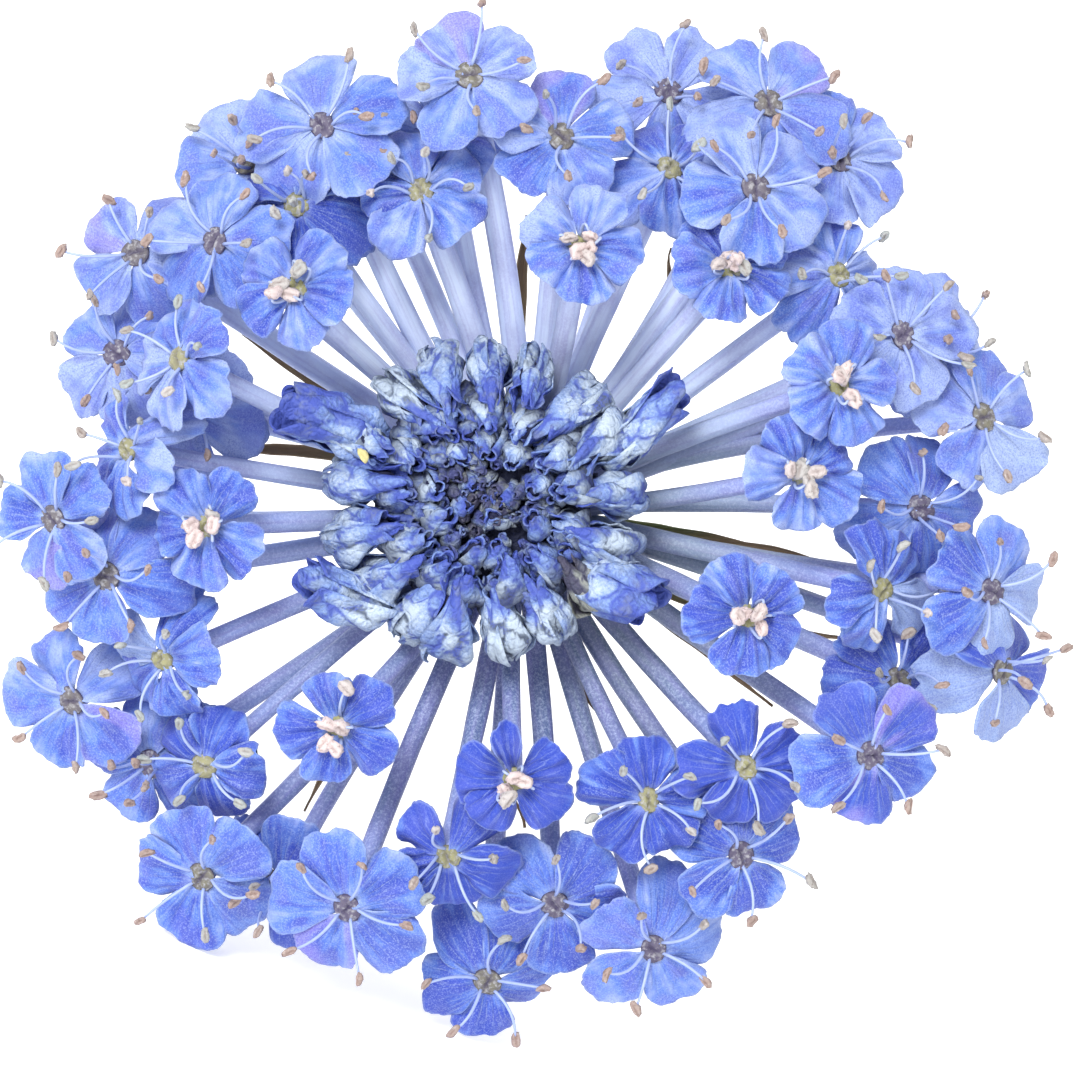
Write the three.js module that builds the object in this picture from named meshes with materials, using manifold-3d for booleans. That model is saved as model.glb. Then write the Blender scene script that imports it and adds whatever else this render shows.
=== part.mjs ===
// Blue lace flower, cut: a flat umbel of small blue florets round a tight head of buds, on a slim
// bare stalk. It lies on its side, on two florets of the rim and the cut end of the stalk.
// Millimetres. Every piece is made in the umbel's own frame first: the origin is the point that
// the floret stalks leave, X and Y lie across the umbel, and Z runs along its axis, out of its face.
// The whole flower is then laid down, with +Z up and its face towards -Y.
import * as THREE from 'three';
import { mergeVertices } from 'three/addons/utils/BufferGeometryUtils.js';
import Module from 'manifold-3d';

const wasm = await Module();
wasm.setup();

// The lie of the flower
const ROLL = 21.37; // degrees about its axis, which brings two rim florets level with each other
const SLOPE = 14.21; // degrees that the stalk falls from the umbel to its cut end

// Stalk
const STALK_LENGTH = 100;
const STALK_RADIUS = 1.25;
const NECK_RADIUS = 1.05;
const RECEPTACLE_RADIUS = 2.3;
const RECEPTACLE_HEIGHT = 1.5;

// Umbel
const CROWN = 10.8; // height of the florets' dome over the receptacle, at the axis
const DOME_DROP = 5.2; // how far the dome falls from the axis to the rim
const RIM = 26; // radius of the rim's discs
const LAYER_STEP = 1.25; // height between florets that overlap
const TILT = 1.25; // a floret's lean, as a multiple of the dome's slope under it

// Florets
const SHEET = 0.6; // petal thickness
const GAP = 0.3; // between neighbouring pieces
const WELD = 0.002; // corners nearer than this become one
const DISC_RADIUS = 0.72;
const DISC_HEIGHT = 0.5;
const PETALS = 5;
const AGES = {
  old: { reach: 4.1, width: 0.75, tip: -0.4, stamen: 3.5 },
  mid: { reach: 3.6, width: 0.76, tip: -0.1, stamen: 3.2 },
  young: { reach: 3.35, width: 0.8, tip: 0.35, stamen: 2.6 },
};
const PETAL_FACES = [[0, 1, 4], [0, 4, 5], [1, 2, 3], [1, 3, 4]];
const WAVE = 0.16; // how far a petal's edge rises and falls
const STAMEN_RADIUS = 0.26;
const ANTHER_RADIUS = 0.45;
const ANTHER_LENGTH = 0.95;
const STAMEN_RISES = [32, 48, 62, 76]; // degrees over the floret's own plane, the first choice first
const PETAL_DROPS = [0, 0.4, -0.4, 0.8, 1.3, -0.8, 1.8, 2.3]; // of a petal's tip, likewise

// Floret stalks
const PEDICEL_SIDES = 4;
const PEDICEL_ROOT_RADIUS = 0.4;
const PEDICEL_RADIUS = 0.52;
const PEDICEL_BEND = 3.2; // length of the bend under a floret
const STEEPEST = 30; // degrees, at the stalks of the inner florets
const FLATTEST = 7; // degrees, at the stalks of the rim
const WAYS = [ // headings on which the stalks leave, in degrees: florets in line share one
  2.5, 18, 24, 35.5, 48, 52, 68, 74, 80.5, 91.5, 103.5, 111.5, 122.5, 127.5, 135.5, 145, 159, 172.5,
  184, 191.5, 203, 216.5, 223.5, 234, 244, 254.5, 258.5, 265, 276.5, 286, 290.5, 299, 309, 317, 324,
  329, 334, 343, 347, 357.5,
];
const WAY_LEAD = 0.6; // how far a stalk first swings past its way, as a share of the turn to its floret

// Bracts: the heading of each and how far it reaches
const BRACTS = [
  [2, 17], [41, 17.7], [60, 15.9], [75, 16], [90, 15.5], [133, 13], [149, 17.3], [165, 16],
  [232, 19.6], [271, 16.8], [289, 13], [322, 16.9], [334, 18], [351, 16.4],
];
const BRACT_WIDTH = 1;
const COLLAR_WIDTH = 0.9;
const COLLAR_HEIGHT = 1;
const COLLAR_TOP = -1.35;

// Head of buds: rings from the outside in, and the buds that stand out from its edge
const HEAD_X = -1.8;
const HEAD_Y = 0.4;
const HEAD_TOP = 9.6;
const BUD_RINGS = [
  { count: 17, radius: 7.5, foot: 7.4, lean: -48, length: 4.3, width: 2.1 },
  { count: 13, radius: 4.9, foot: 8.6, lean: -36, length: 2.7, width: 1.7 },
  { count: 9, radius: 2.9, foot: 9.3, lean: -22, length: 2, width: 1.4 },
  { count: 4, radius: 1.1, foot: 9.4, lean: -8, length: 1.6, width: 1.2 },
];
const STRAY_BUDS = [
  { foot: [-8, 3.6, 7.6], tip: [-12.8, 6.2, 9.6] },
  { foot: [-7.4, -4.9, 7.6], tip: [-12.2, -3.6, 9.3] },
  { foot: [5, 3, 7.4], tip: [9.2, 6, 9.6] },
  { foot: [3.6, -3.4, 7.6], tip: [7.2, -5.6, 9.4] },
];

// Each floret: its disc across the umbel, the turn of one petal, its age and its layer, of which
// the highest lies on top. Lean is given where a floret faces outwards.
const FLORETS = [
  { x: -10.2, y: 19.7, turn: 24, age: 'old', layer: 2, reach: 4.6 },
  { x: -14.2, y: 18, turn: 45, age: 'old', layer: 0 },
  { x: -19.9, y: 13.2, turn: 69, age: 'old', layer: 1 },
  { x: -15.7, y: 13.7, turn: 5, age: 'old', layer: 2 },
  { x: -11.5, y: 11.2, turn: 60, age: 'young', layer: 3 },
  { x: -11.5, y: 15.6, turn: 60, age: 'mid', layer: 1 },
  { x: -17.4, y: 7.6, turn: 30, age: 'mid', layer: 3, lean: 45 },
  { x: -20.9, y: 8, turn: 66, age: 'old', layer: 0, reach: 3.8 },
  { x: -20.1, y: 3, turn: 40, age: 'mid', layer: 2, lean: 48 },
  { x: -17.3, y: 5.3, turn: 50, age: 'old', layer: -1 },
  { x: -24, y: -0.6, turn: 28, age: 'old', layer: 3, reach: 3.75 },
  { x: -21.3, y: -3.5, turn: 50, age: 'old', layer: 2 },
  { x: -16, y: -0.9, turn: 335, age: 'young', layer: 2 },
  { x: -18.4, y: -7.8, turn: 70, age: 'mid', layer: 1, lean: 40 },
  { x: -23.3, y: -10, turn: 33, age: 'old', layer: 0 },
  { x: -19.2, y: -13.3, turn: 22, age: 'old', layer: -1 },
  { x: -16.3, y: -13.3, turn: 65, age: 'mid', layer: 0.3 },
  { x: -16.5, y: -19.1, turn: 35, age: 'old', layer: 1 },
  { x: -8.9, y: -20.6, turn: 27, age: 'old', layer: 2, reach: 4.35 },
  { x: -12.6, y: -19.5, turn: 5, age: 'old', layer: -1 },
  { x: -9.3, y: -11.2, turn: 41, age: 'young', layer: 2 },
  { x: -0.3, y: -13.9, turn: 25, age: 'young', layer: 2 },
  { x: -3.7, y: -17.9, turn: 60, age: 'mid', layer: 1, lean: 35 },
  { x: 1.8, y: -20.5, turn: 59, age: 'old', layer: 0 },
  { x: -1.7, y: -24.6, turn: 50, age: 'old', layer: -0.6, reach: 3.9 },
  { x: 6.9, y: -22.8, turn: 3, age: 'old', layer: 0.8 },
  { x: 6.6, y: -15, turn: 12, age: 'mid', layer: 1 },
  { x: 11.6, y: -13.3, turn: 26, age: 'mid', layer: 2 },
  { x: 11.4, y: -17.9, turn: 12, age: 'old', layer: 1.5 },
  { x: 18, y: -12.7, turn: 50, age: 'old', layer: 3, reach: 4.4 },
  { x: 11.6, y: -5.5, turn: 35, age: 'young', layer: 3 },
  { x: 18.6, y: -4.2, turn: 40, age: 'mid', layer: 1.5, lean: 40 },
  { x: 24.3, y: -4.3, turn: 65, age: 'old', layer: 2.3, lean: 35 },
  { x: 25, y: -8.4, turn: 47, age: 'old', layer: 1, lean: 50 },
  { x: 19.6, y: -8.9, turn: 50, age: 'old', layer: 0 },
  { x: 20.7, y: 0, turn: 62, age: 'old', layer: 0.6 },
  { x: 24, y: 4.7, turn: 20, age: 'old', layer: 1 },
  { x: 16.3, y: 6.3, turn: 5, age: 'young', layer: 3 },
  { x: 14.4, y: 1.7, turn: 37, age: 'young', layer: 2 },
  { x: 10.8, y: 12.3, turn: 43, age: 'young', layer: 2 },
  { x: 16.4, y: 12, turn: 18, age: 'mid', layer: 1, lean: 32 },
  { x: 19.7, y: 8.9, turn: 12, age: 'old', layer: 2 },
  { x: 21.9, y: 8.4, turn: 20, age: 'old', layer: 0 },
  { x: 16.5, y: 18.1, turn: 38, age: 'old', layer: 1 },
  { x: 12.8, y: 20.9, turn: 58, age: 'old', layer: 2, reach: 4.5 },
  { x: 12.1, y: 16.4, turn: 42, age: 'old', layer: 3 },
  { x: 7.7, y: 21.6, turn: 50, age: 'old', layer: 0 },
  { x: 7.7, y: 17.5, turn: 52, age: 'mid', layer: 1 },
  { x: 2.1, y: 19.1, turn: 15, age: 'old', layer: 1.6 },
  { x: 3.1, y: 13.3, turn: 65, age: 'young', layer: 3 },
  { x: -2.6, y: 22.2, turn: 37, age: 'old', layer: 3 },
  { x: -4.1, y: 19.5, turn: 10, age: 'old', layer: 0 },
  { x: -5.1, y: 16.3, turn: 33, age: 'mid', layer: 1 },
  { x: -7.6, y: 18.1, turn: 66, age: 'old', layer: -1 },
];

const UP = new THREE.Vector3(0, 0, 1);
const vec = (x, y, z) => new THREE.Vector3(x, y, z);
const rad = THREE.MathUtils.degToRad;

// A repeatable draw between 0 and 1
function draws(seed) {
  let state = seed;
  return () => {
    state = (state * 1664525 + 1013904223) % 4294967296;
    return state / 4294967296;
  };
}

// A direction at an angle round the axis and an angle over the umbel's plane, in degrees
function heading(round, over) {
  return vec(Math.cos(rad(round)) * Math.cos(rad(over)),
    Math.sin(rad(round)) * Math.cos(rad(over)), Math.sin(rad(over)));
}

function geometryOf(points, faces) {
  const geometry = new THREE.BufferGeometry();
  geometry.setAttribute('position', new THREE.Float32BufferAttribute(points.flatMap((p) => p.toArray()), 3));
  geometry.setIndex(faces.flat());
  return geometry;
}

function toSolid(geometry) {
  const bare = geometry.clone();
  bare.deleteAttribute('normal');
  bare.deleteAttribute('uv');
  const merged = mergeVertices(bare, WELD);
  return new wasm.Manifold(new wasm.Mesh({
    numProp: 3,
    vertProperties: new Float32Array(merged.attributes.position.array),
    triVerts: new Uint32Array(merged.index.array),
  }));
}

function toGeometry(solid) {
  const { vertProperties, triVerts } = solid.getMesh();
  const geometry = new THREE.BufferGeometry();
  geometry.setAttribute('position', new THREE.Float32BufferAttribute(vertProperties, 3));
  geometry.setIndex(Array.from(triVerts));
  return geometry;
}

function largestBody(solid) {
  return solid.decompose().sort((a, b) => b.volume() - a.volume())[0];
}

// A closed rod through the points, with a radius at each; a radius of 0 makes a pointed end
function rod(points, radii, sides) {
  const chord = points[points.length - 1].clone().sub(points[0]).normalize();
  const side = Math.abs(chord.z) < 0.9 ? UP : vec(1, 0, 0);
  const corners = [];
  const rings = points.map((point, i) => {
    if (radii[i] === 0) {
      corners.push(point);
      return [corners.length - 1];
    }
    const along = points[Math.min(i + 1, points.length - 1)].clone().sub(points[Math.max(i - 1, 0)]).normalize();
    const across = side.clone().cross(along).normalize();
    const other = along.clone().cross(across);
    return Array.from({ length: sides }, (_, k) => {
      const turn = (2 * Math.PI * k) / sides;
      corners.push(point.clone().addScaledVector(across, radii[i] * Math.cos(turn))
        .addScaledVector(other, radii[i] * Math.sin(turn)));
      return corners.length - 1;
    });
  });
  const faces = [];
  for (let i = 0; i + 1 < rings.length; i += 1) {
    for (let k = 0; k < sides; k += 1) {
      const [a, b] = [rings[i], rings[i + 1]];
      const next = (k + 1) % sides;
      if (a.length > 1) faces.push([a[k], a[next], b[b.length > 1 ? next : 0]]);
      if (b.length > 1) faces.push([a[a.length > 1 ? k : 0], b[next], b[k]]);
    }
  }
  for (let k = 1; k + 1 < sides; k += 1) {
    const [first, last] = [rings[0], rings[rings.length - 1]];
    if (first.length > 1) faces.push([first[0], first[k + 1], first[k]]);
    if (last.length > 1) faces.push([last[0], last[k], last[k + 1]]);
  }
  return geometryOf(corners, faces);
}

// A closed plate on a middle surface of points, triangles and a rim, split alike on both faces
function plate(points, triangles, rim, lift) {
  const count = points.length;
  const above = points.map((p) => p.clone().add(lift));
  const below = points.map((p) => p.clone().sub(lift));
  const faces = triangles.flatMap(([a, b, c]) => [[a, b, c], [count + a, count + c, count + b]]);
  rim.forEach((a, i) => {
    const b = rim[(i + 1) % rim.length];
    faces.push([b, a, count + a], [b, count + a, count + b]);
  });
  return geometryOf([...above, ...below], faces);
}

const domeHeight = (r) => CROWN - DOME_DROP * (r / RIM) ** 2;
const domeSlope = (r) => THREE.MathUtils.radToDeg(Math.atan((2 * DOME_DROP * r) / RIM ** 2));

// Where a floret sits and how it is turned: its centre, its own axes and its sizes
function seat(floret, index) {
  const radius = Math.hypot(floret.x, floret.y);
  const outward = vec(floret.x / radius, floret.y / radius, 0);
  const lean = rad(floret.lean ?? TILT * domeSlope(radius));
  const normal = outward.clone().multiplyScalar(Math.sin(lean)).addScaledVector(UP, Math.cos(lean));
  const petal = heading(floret.turn, 0);
  const along = petal.clone().addScaledVector(normal, -petal.dot(normal)).normalize();
  return {
    index,
    radius,
    outward,
    normal,
    along,
    across: normal.clone().cross(along),
    centre: vec(floret.x, floret.y, domeHeight(radius) + (floret.layer - 1) * LAYER_STEP),
    layer: floret.layer,
    ...AGES[floret.age],
    reach: floret.reach ?? AGES[floret.age].reach,
  };
}

// A point of a floret at an angle in degrees, a distance from its centre and a height over its plane
function onFloret(s, angle, distance, height) {
  return s.centre.clone()
    .addScaledVector(s.along, distance * Math.cos(rad(angle)))
    .addScaledVector(s.across, distance * Math.sin(rad(angle)))
    .addScaledVector(s.normal, height);
}

// One petal's middle surface: two corners at the disc, two at its widest and two at its tip
function petalPoints(s, { turn, drop, reach, wave }, margin) {
  const angle = (turn * 360) / PETALS;
  const half = (s.width * s.reach) / 2 + margin;
  const far = reach + margin;
  const tip = s.tip - drop;
  const across = onFloret(s, angle + 90, 1, 0).sub(s.centre);
  const at = (u, v, w) => onFloret(s, angle, u, w).addScaledVector(across, v);
  return [
    onFloret(s, angle - 90 / PETALS, DISC_RADIUS + margin, 0),
    at(0.62 * reach, -half, 0.35 * tip - wave),
    at(far, -0.6 * half, tip + wave),
    at(far, 0.6 * half, tip - wave),
    at(0.62 * reach, half, 0.35 * tip + wave),
    onFloret(s, angle + 90 / PETALS, DISC_RADIUS + margin, 0),
  ];
}

// The rings of a stamen: its neck under the anther, the anther's middle and the anther's tip
function stamenPoints(s, { angle, length, rise }, margin) {
  const along = onFloret(s, angle, Math.cos(rad(rise)), Math.sin(rad(rise))).sub(s.centre);
  const across = onFloret(s, angle + 90, 1, 0).sub(s.centre);
  const inward = across.clone().cross(along).negate();
  const start = onFloret(s, angle, 0.3, 0.2);
  const ring = (d, r) => [90, 210, 330].map((turn) => start.clone().addScaledVector(along, d)
    .addScaledVector(across, (r + margin) * Math.cos(rad(turn)))
    .addScaledVector(inward, (r + margin) * Math.sin(rad(turn))));
  const neck = length - ANTHER_LENGTH;
  return {
    root: ring(0, STAMEN_RADIUS),
    neck: ring(neck, STAMEN_RADIUS),
    middle: ring(neck + 0.45 * ANTHER_LENGTH, ANTHER_RADIUS),
    tip: start.clone().addScaledVector(along, length + margin),
  };
}

const band = (low, high) => [0, 1, 2].flatMap((k) => {
  const next = (k + 1) % 3;
  return [[low[k], low[next], high[next]], [low[k], high[next], high[k]]];
});
const cone = (ring, tip) => [0, 1, 2].map((k) => [ring[k], ring[(k + 1) % 3], tip]);

// A stamen or a petal by itself, grown by the gap, to try whether there is room for it
function stamenRoom(s, stamen) {
  const { root, neck, middle, tip } = stamenPoints(s, stamen, GAP);
  return toSolid(geometryOf([...root, ...neck, ...middle, tip], [
    [0, 2, 1], ...band([0, 1, 2], [3, 4, 5]), ...band([3, 4, 5], [6, 7, 8]), ...cone([6, 7, 8], 9),
  ]));
}

function petalRoom(s, petal) {
  const lift = s.normal.clone().multiplyScalar(SHEET / 2 + GAP);
  return toSolid(plate(petalPoints(s, petal, GAP), PETAL_FACES, [0, 1, 2, 3, 4, 5], lift));
}

// The five petals and the disc as one sheet, with the stamens drawn out of the disc's faces
function sheetOf(s, petals, stamens, margin) {
  const points = [s.centre.clone(), ...petals.flatMap((petal) => petalPoints(s, petal, margin))];
  const faces = [];
  const between = [];
  const rim = [];
  petals.forEach((_, i) => {
    const first = 1 + 6 * i;
    const next = 1 + 6 * ((i + 1) % PETALS);
    faces.push(...PETAL_FACES.map((face) => face.map((corner) => first + corner)));
    faces.push([0, first, first + 5]);
    between.push([0, first + 5, next]);
    rim.push(first, first + 1, first + 2, first + 3, first + 4, first + 5);
  });
  const half = SHEET / 2 + margin;
  const count = points.length;
  const above = points.map((p) => p.clone().addScaledVector(s.normal, half));
  const below = points.map((p) => p.clone().addScaledVector(s.normal, -half));
  above[0].addScaledVector(s.normal, DISC_HEIGHT);
  const all = [...above, ...below];
  const closed = [...faces, ...[...faces, ...between].map(([a, b, c]) => [count + a, count + c, count + b])];
  rim.forEach((a, i) => {
    const b = rim[(i + 1) % rim.length];
    closed.push([b, a, count + a], [b, count + a, count + b]);
  });
  between.forEach((root, k) => {
    if (!stamens[k]) {
      closed.push(root);
      return;
    }
    const { neck, middle, tip } = stamenPoints(s, stamens[k], margin);
    const base = all.length;
    all.push(...neck, ...middle, tip);
    const rings = [root, [base, base + 1, base + 2], [base + 3, base + 4, base + 5]];
    closed.push(...band(rings[0], rings[1]), ...band(rings[1], rings[2]), ...cone(rings[2], base + 6));
  });
  return toSolid(geometryOf(all, closed));
}

// How much of a solid lies in any of the others
const crossed = (solid, others) => others.reduce((sum, other) => sum + solid.intersect(other).volume(), 0);

// The choice that leaves the solid clear of the others, or nearest to it
function clearest(choices, make, others) {
  let best = null;
  for (const choice of choices) {
    const volume = crossed(make(choice), others);
    if (best === null || volume < best.volume) {
      best = { choice, volume };
    }
    if (best.volume < 1e-6) {
      break;
    }
  }
  return best;
}

// The angle from one heading to another, between -180 and 180 degrees
const turnTo = (from, to) => THREE.MathUtils.euclideanModulo(to - from + 180, 360) - 180;

// The stalk of one floret, from inside the receptacle to just behind the disc
function pedicelPath(s) {
  const t = THREE.MathUtils.clamp((s.radius - 13) / (RIM - 13), 0, 1);
  const round = THREE.MathUtils.radToDeg(Math.atan2(s.outward.y, s.outward.x));
  const turns = WAYS.map((way) => turnTo(round, way)).sort((a, b) => Math.abs(a) - Math.abs(b));
  const leave = heading(round + (1 + WAY_LEAD) * turns[0], THREE.MathUtils.lerp(STEEPEST, FLATTEST, t));
  const end = s.centre.clone().addScaledVector(s.normal, -(SHEET / 2 + GAP));
  return new THREE.CubicBezierCurve3(
    leave.clone().multiplyScalar(0.9),
    leave.clone().multiplyScalar(0.45 * end.length()),
    end.clone().addScaledVector(s.normal, -PEDICEL_BEND),
    end,
  );
}

function pedicel(s, margin) {
  const points = pedicelPath(s).getSpacedPoints(3);
  const radii = points.map((_, i) => margin
    + THREE.MathUtils.lerp(PEDICEL_ROOT_RADIUS, PEDICEL_RADIUS, Math.min(1, i / 2)));
  return rod(points, radii, PEDICEL_SIDES);
}

function stemSolid(seats) {
  const profile = [
    [0, -STALK_LENGTH],
    [STALK_RADIUS, -STALK_LENGTH],
    [STALK_RADIUS, -STALK_LENGTH / 2],
    [NECK_RADIUS, -3.2],
    [RECEPTACLE_RADIUS * 0.8, -1.05],
    [RECEPTACLE_RADIUS, 0.1],
    [RECEPTACLE_RADIUS * 0.75, RECEPTACLE_HEIGHT * 0.75],
    [0, RECEPTACLE_HEIGHT],
  ].map(([r, z]) => new THREE.Vector2(r, z));
  const body = new THREE.LatheGeometry(profile, 12).rotateX(Math.PI / 2);
  return seats.reduce((solid, s) => solid.add(toSolid(pedicel(s, 0))), toSolid(body));
}

function bract([round, length], draw) {
  const rise = 2 + 4 * draw();
  const curl = 18 * (draw() - 0.5);
  const points = [0.1, 0.55, 1].map((t) => {
    const lift = COLLAR_TOP - COLLAR_HEIGHT / 2 + length * t * Math.tan(rad(rise));
    return heading(round + curl * (t * t - 0.5), 0).multiplyScalar(length * t).setZ(lift);
  });
  const half = BRACT_WIDTH / 2;
  return rod(points, [half, 0.8 * half, 0], 4);
}

function bractsSolid() {
  const draw = draws(31);
  const inner = RECEPTACLE_RADIUS * 0.8 + GAP;
  const outer = inner + COLLAR_WIDTH;
  const low = COLLAR_TOP - COLLAR_HEIGHT;
  const profile = [[inner, low], [outer, low], [outer, COLLAR_TOP], [inner, COLLAR_TOP], [inner, low]];
  const collar = new THREE.LatheGeometry(profile.map(([r, z]) => new THREE.Vector2(r, z)), 16);
  let solid = toSolid(collar.rotateX(Math.PI / 2));
  for (const each of BRACTS) {
    solid = solid.add(toSolid(bract(each, draw)));
  }
  const bore = new THREE.CylinderGeometry(inner, inner, 8, 16).rotateX(Math.PI / 2);
  return solid.subtract(toSolid(bore));
}

function bud(foot, direction, length, width) {
  const at = (t) => foot.clone().addScaledVector(direction, length * t);
  return rod([at(-0.12), at(0.3), at(0.72), at(1)], [0, width / 2, width * 0.42, 0], 4);
}

function budHeadSolid() {
  const draw = draws(53);
  const floor = RECEPTACLE_HEIGHT + GAP;
  const profile = [
    [0, floor], [0.9, floor], [2.2, floor + 2], [6, HEAD_TOP - 2.8], [7, HEAD_TOP - 1.7],
    [5, HEAD_TOP - 0.5], [0, HEAD_TOP],
  ];
  const core = new THREE.LatheGeometry(profile.map(([r, z]) => new THREE.Vector2(r, z)), 12);
  core.rotateX(Math.PI / 2);
  const places = core.attributes.position;
  for (let i = 0; i < places.count; i += 1) {
    const share = THREE.MathUtils.clamp((places.getZ(i) - floor) / (HEAD_TOP - floor), 0, 1);
    places.setXY(i, places.getX(i) + HEAD_X * share, places.getY(i) + HEAD_Y * share);
  }
  let solid = toSolid(core);
  for (const ring of BUD_RINGS) {
    for (let k = 0; k < ring.count; k += 1) {
      const round = (360 * (k + 0.5 * draw())) / ring.count;
      const foot = heading(round, 0).multiplyScalar(ring.radius).add(vec(HEAD_X, HEAD_Y, ring.foot));
      const direction = heading(round, 90).applyAxisAngle(heading(round + 90, 0), rad(ring.lean + 16 * (draw() - 0.5)));
      const size = 0.9 + 0.2 * draw();
      solid = solid.add(toSolid(bud(foot, direction, ring.length * size, ring.width * size)));
    }
  }
  for (const stray of STRAY_BUDS) {
    const foot = vec(...stray.foot);
    const span = vec(...stray.tip).sub(foot);
    solid = solid.add(toSolid(bud(foot, span.clone().normalize(), span.length(), 2)));
  }
  return solid;
}

function material(color, roughness) {
  return new THREE.MeshStandardMaterial({ color, roughness, metalness: 0, flatShading: true });
}

const petalBlue = material(0x8397ec, 0.7);
const stalkGrey = material(0x9c9bc6, 0.6);
const bractBrown = material(0x54421f, 0.7);
const budBlue = material(0xa9bbe4, 0.7);

// A named piece: one body, with the slivers that its cuts left welded shut and dropped
function named(name, solid, finish) {
  const clean = largestBody(toSolid(toGeometry(largestBody(solid))));
  const mesh = new THREE.Mesh(toGeometry(clean), finish);
  mesh.name = name;
  return mesh;
}

// One floret among what is placed already. Each petal drops or lifts, and each stamen stands
// steeper, until it is clear; a stamen that can't be is left out, and a petal is cut back.
function floretSolid(s, others) {
  const draw = draws(7 + s.index);
  const petals = [];
  const stamens = [];
  for (let turn = 0; turn < PETALS; turn += 1) {
    const petal = { turn, reach: s.reach * (0.95 + 0.08 * draw()), wave: WAVE * (draw() < 0.5 ? -1 : 1) };
    const bent = PETAL_DROPS.map((drop) => ({ ...petal, drop }));
    petals.push(clearest(bent, (choice) => petalRoom(s, choice), others).choice);
    const stamen = {
      angle: ((turn + 0.5) * 360) / PETALS + 20 * (draw() - 0.5),
      length: s.stamen * (0.85 + 0.25 * draw()),
    };
    const raised = STAMEN_RISES.map((rise) => ({ ...stamen, rise: rise + 12 * (draw() - 0.5) }));
    const { choice, volume } = clearest(raised, (each) => stamenRoom(s, each), others);
    stamens.push(volume < 1e-6 ? choice : null);
  }
  return { solid: sheetOf(s, petals, stamens, 0), room: sheetOf(s, petals, [], GAP) };
}

// Florets are placed from the top layer down, clear of the other florets' stalks and the buds
function floretMeshes(seats, head) {
  const order = [...seats].sort((a, b) => b.layer - a.layer || b.centre.z - a.centre.z);
  const placed = [];
  const meshes = [];
  for (const s of order) {
    const uppers = placed.filter((p) => p.seat.centre.distanceTo(s.centre) < 10);
    const stalks = seats.filter((o) => o !== s && o.centre.distanceTo(s.centre) < 14)
      .map((o) => toSolid(pedicel(o, 0)));
    const others = [...uppers.map((p) => p.solid), ...stalks, head];
    let { solid, room } = floretSolid(s, others);
    for (const upper of uppers.filter((p) => crossed(room, [p.solid]) > 0)) {
      solid = solid.subtract(upper.room);
    }
    for (const other of seats.filter((o) => o !== s && o.centre.distanceTo(s.centre) < 14)) {
      solid = solid.subtract(toSolid(pedicel(other, GAP)));
    }
    solid = solid.subtract(head);
    placed.push({ seat: s, solid, room });
    meshes[s.index] = named(`floret_${String(s.index + 1).padStart(2, '0')}`, solid, petalBlue);
  }
  return meshes;
}

const seats = FLORETS.map(seat);
const head = budHeadSolid();
const umbel = new THREE.Group();
umbel.add(named('stem', stemSolid(seats), stalkGrey));
umbel.add(named('bracts', bractsSolid(), bractBrown));
umbel.add(named('bud_head', head, budBlue));
umbel.add(...floretMeshes(seats, head));
umbel.rotation.z = rad(ROLL);

const laid = new THREE.Group();
laid.add(umbel);
laid.rotation.x = rad(90 - SLOPE);

const flower = new THREE.Group();
flower.add(laid);
flower.updateMatrixWorld(true);
const box = new THREE.Box3().setFromObject(flower, true);
laid.position.set(-(box.min.x + box.max.x) / 2, -(box.min.y + box.max.y) / 2, -box.min.z);
flower.updateMatrixWorld(true);

export default flower;
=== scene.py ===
"""Blue lace flower, cut and lying on its side: the looks of its florets, bud head, stalks and bracts.

Every piece is shaped in the umbel's own frame, in millimetres: the origin is the point that the
floret stalks leave, X and Y lie across the umbel as it is seen from its face, and Z runs along its
axis, out of the face. PLACE then lays the finished mesh down in the row frame, in metres.
"""

import math
import random

import bmesh
import bpy
from bpy.props import FloatProperty, FloatVectorProperty, PointerProperty
from mathutils import Matrix, Vector, noise


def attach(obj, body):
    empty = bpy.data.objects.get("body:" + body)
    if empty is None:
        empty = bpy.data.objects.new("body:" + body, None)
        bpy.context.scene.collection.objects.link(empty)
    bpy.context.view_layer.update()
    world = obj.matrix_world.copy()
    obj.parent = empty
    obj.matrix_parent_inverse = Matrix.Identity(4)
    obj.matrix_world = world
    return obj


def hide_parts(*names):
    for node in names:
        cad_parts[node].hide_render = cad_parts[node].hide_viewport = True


bl_info = {
    "name": "Blue Lace Flower",
    "version": (1, 0, 0),
    "blender": (4, 5, 0),
    "location": "3D View > Sidebar > Flower",
    "description": "Makes a cut blue lace flower: florets, bud head, stalks and bracts",
    "category": "Add Mesh",
}

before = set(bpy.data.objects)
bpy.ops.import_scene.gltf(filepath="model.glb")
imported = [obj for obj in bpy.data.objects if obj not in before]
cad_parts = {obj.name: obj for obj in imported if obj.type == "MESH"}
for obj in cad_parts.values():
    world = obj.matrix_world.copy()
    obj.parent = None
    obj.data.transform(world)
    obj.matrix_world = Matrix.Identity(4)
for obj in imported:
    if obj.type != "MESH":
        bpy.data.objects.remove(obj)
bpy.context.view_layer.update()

MM = 0.001

# The lie of the flower, in degrees, and the length of its main stalk
ROLL = 21.37
SLOPE = 14.21
STALK_LENGTH = 100

# The dome that the florets make: its height at the axis, its fall to the rim and the rim's radius,
# the height between florets that overlap, and a floret's lean as a multiple of the dome's slope
CROWN = 10.8
DOME_DROP = 5.2
RIM = 26
LAYER_STEP = 1.25
TILT = 1.25

# Floret parts that the solids share
PETALS = 5
SHEET = 0.6
PETAL_ROOT = 0.3
GAP = 0.3
STAMEN_RISES = (32, 48, 62, 76)

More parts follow.
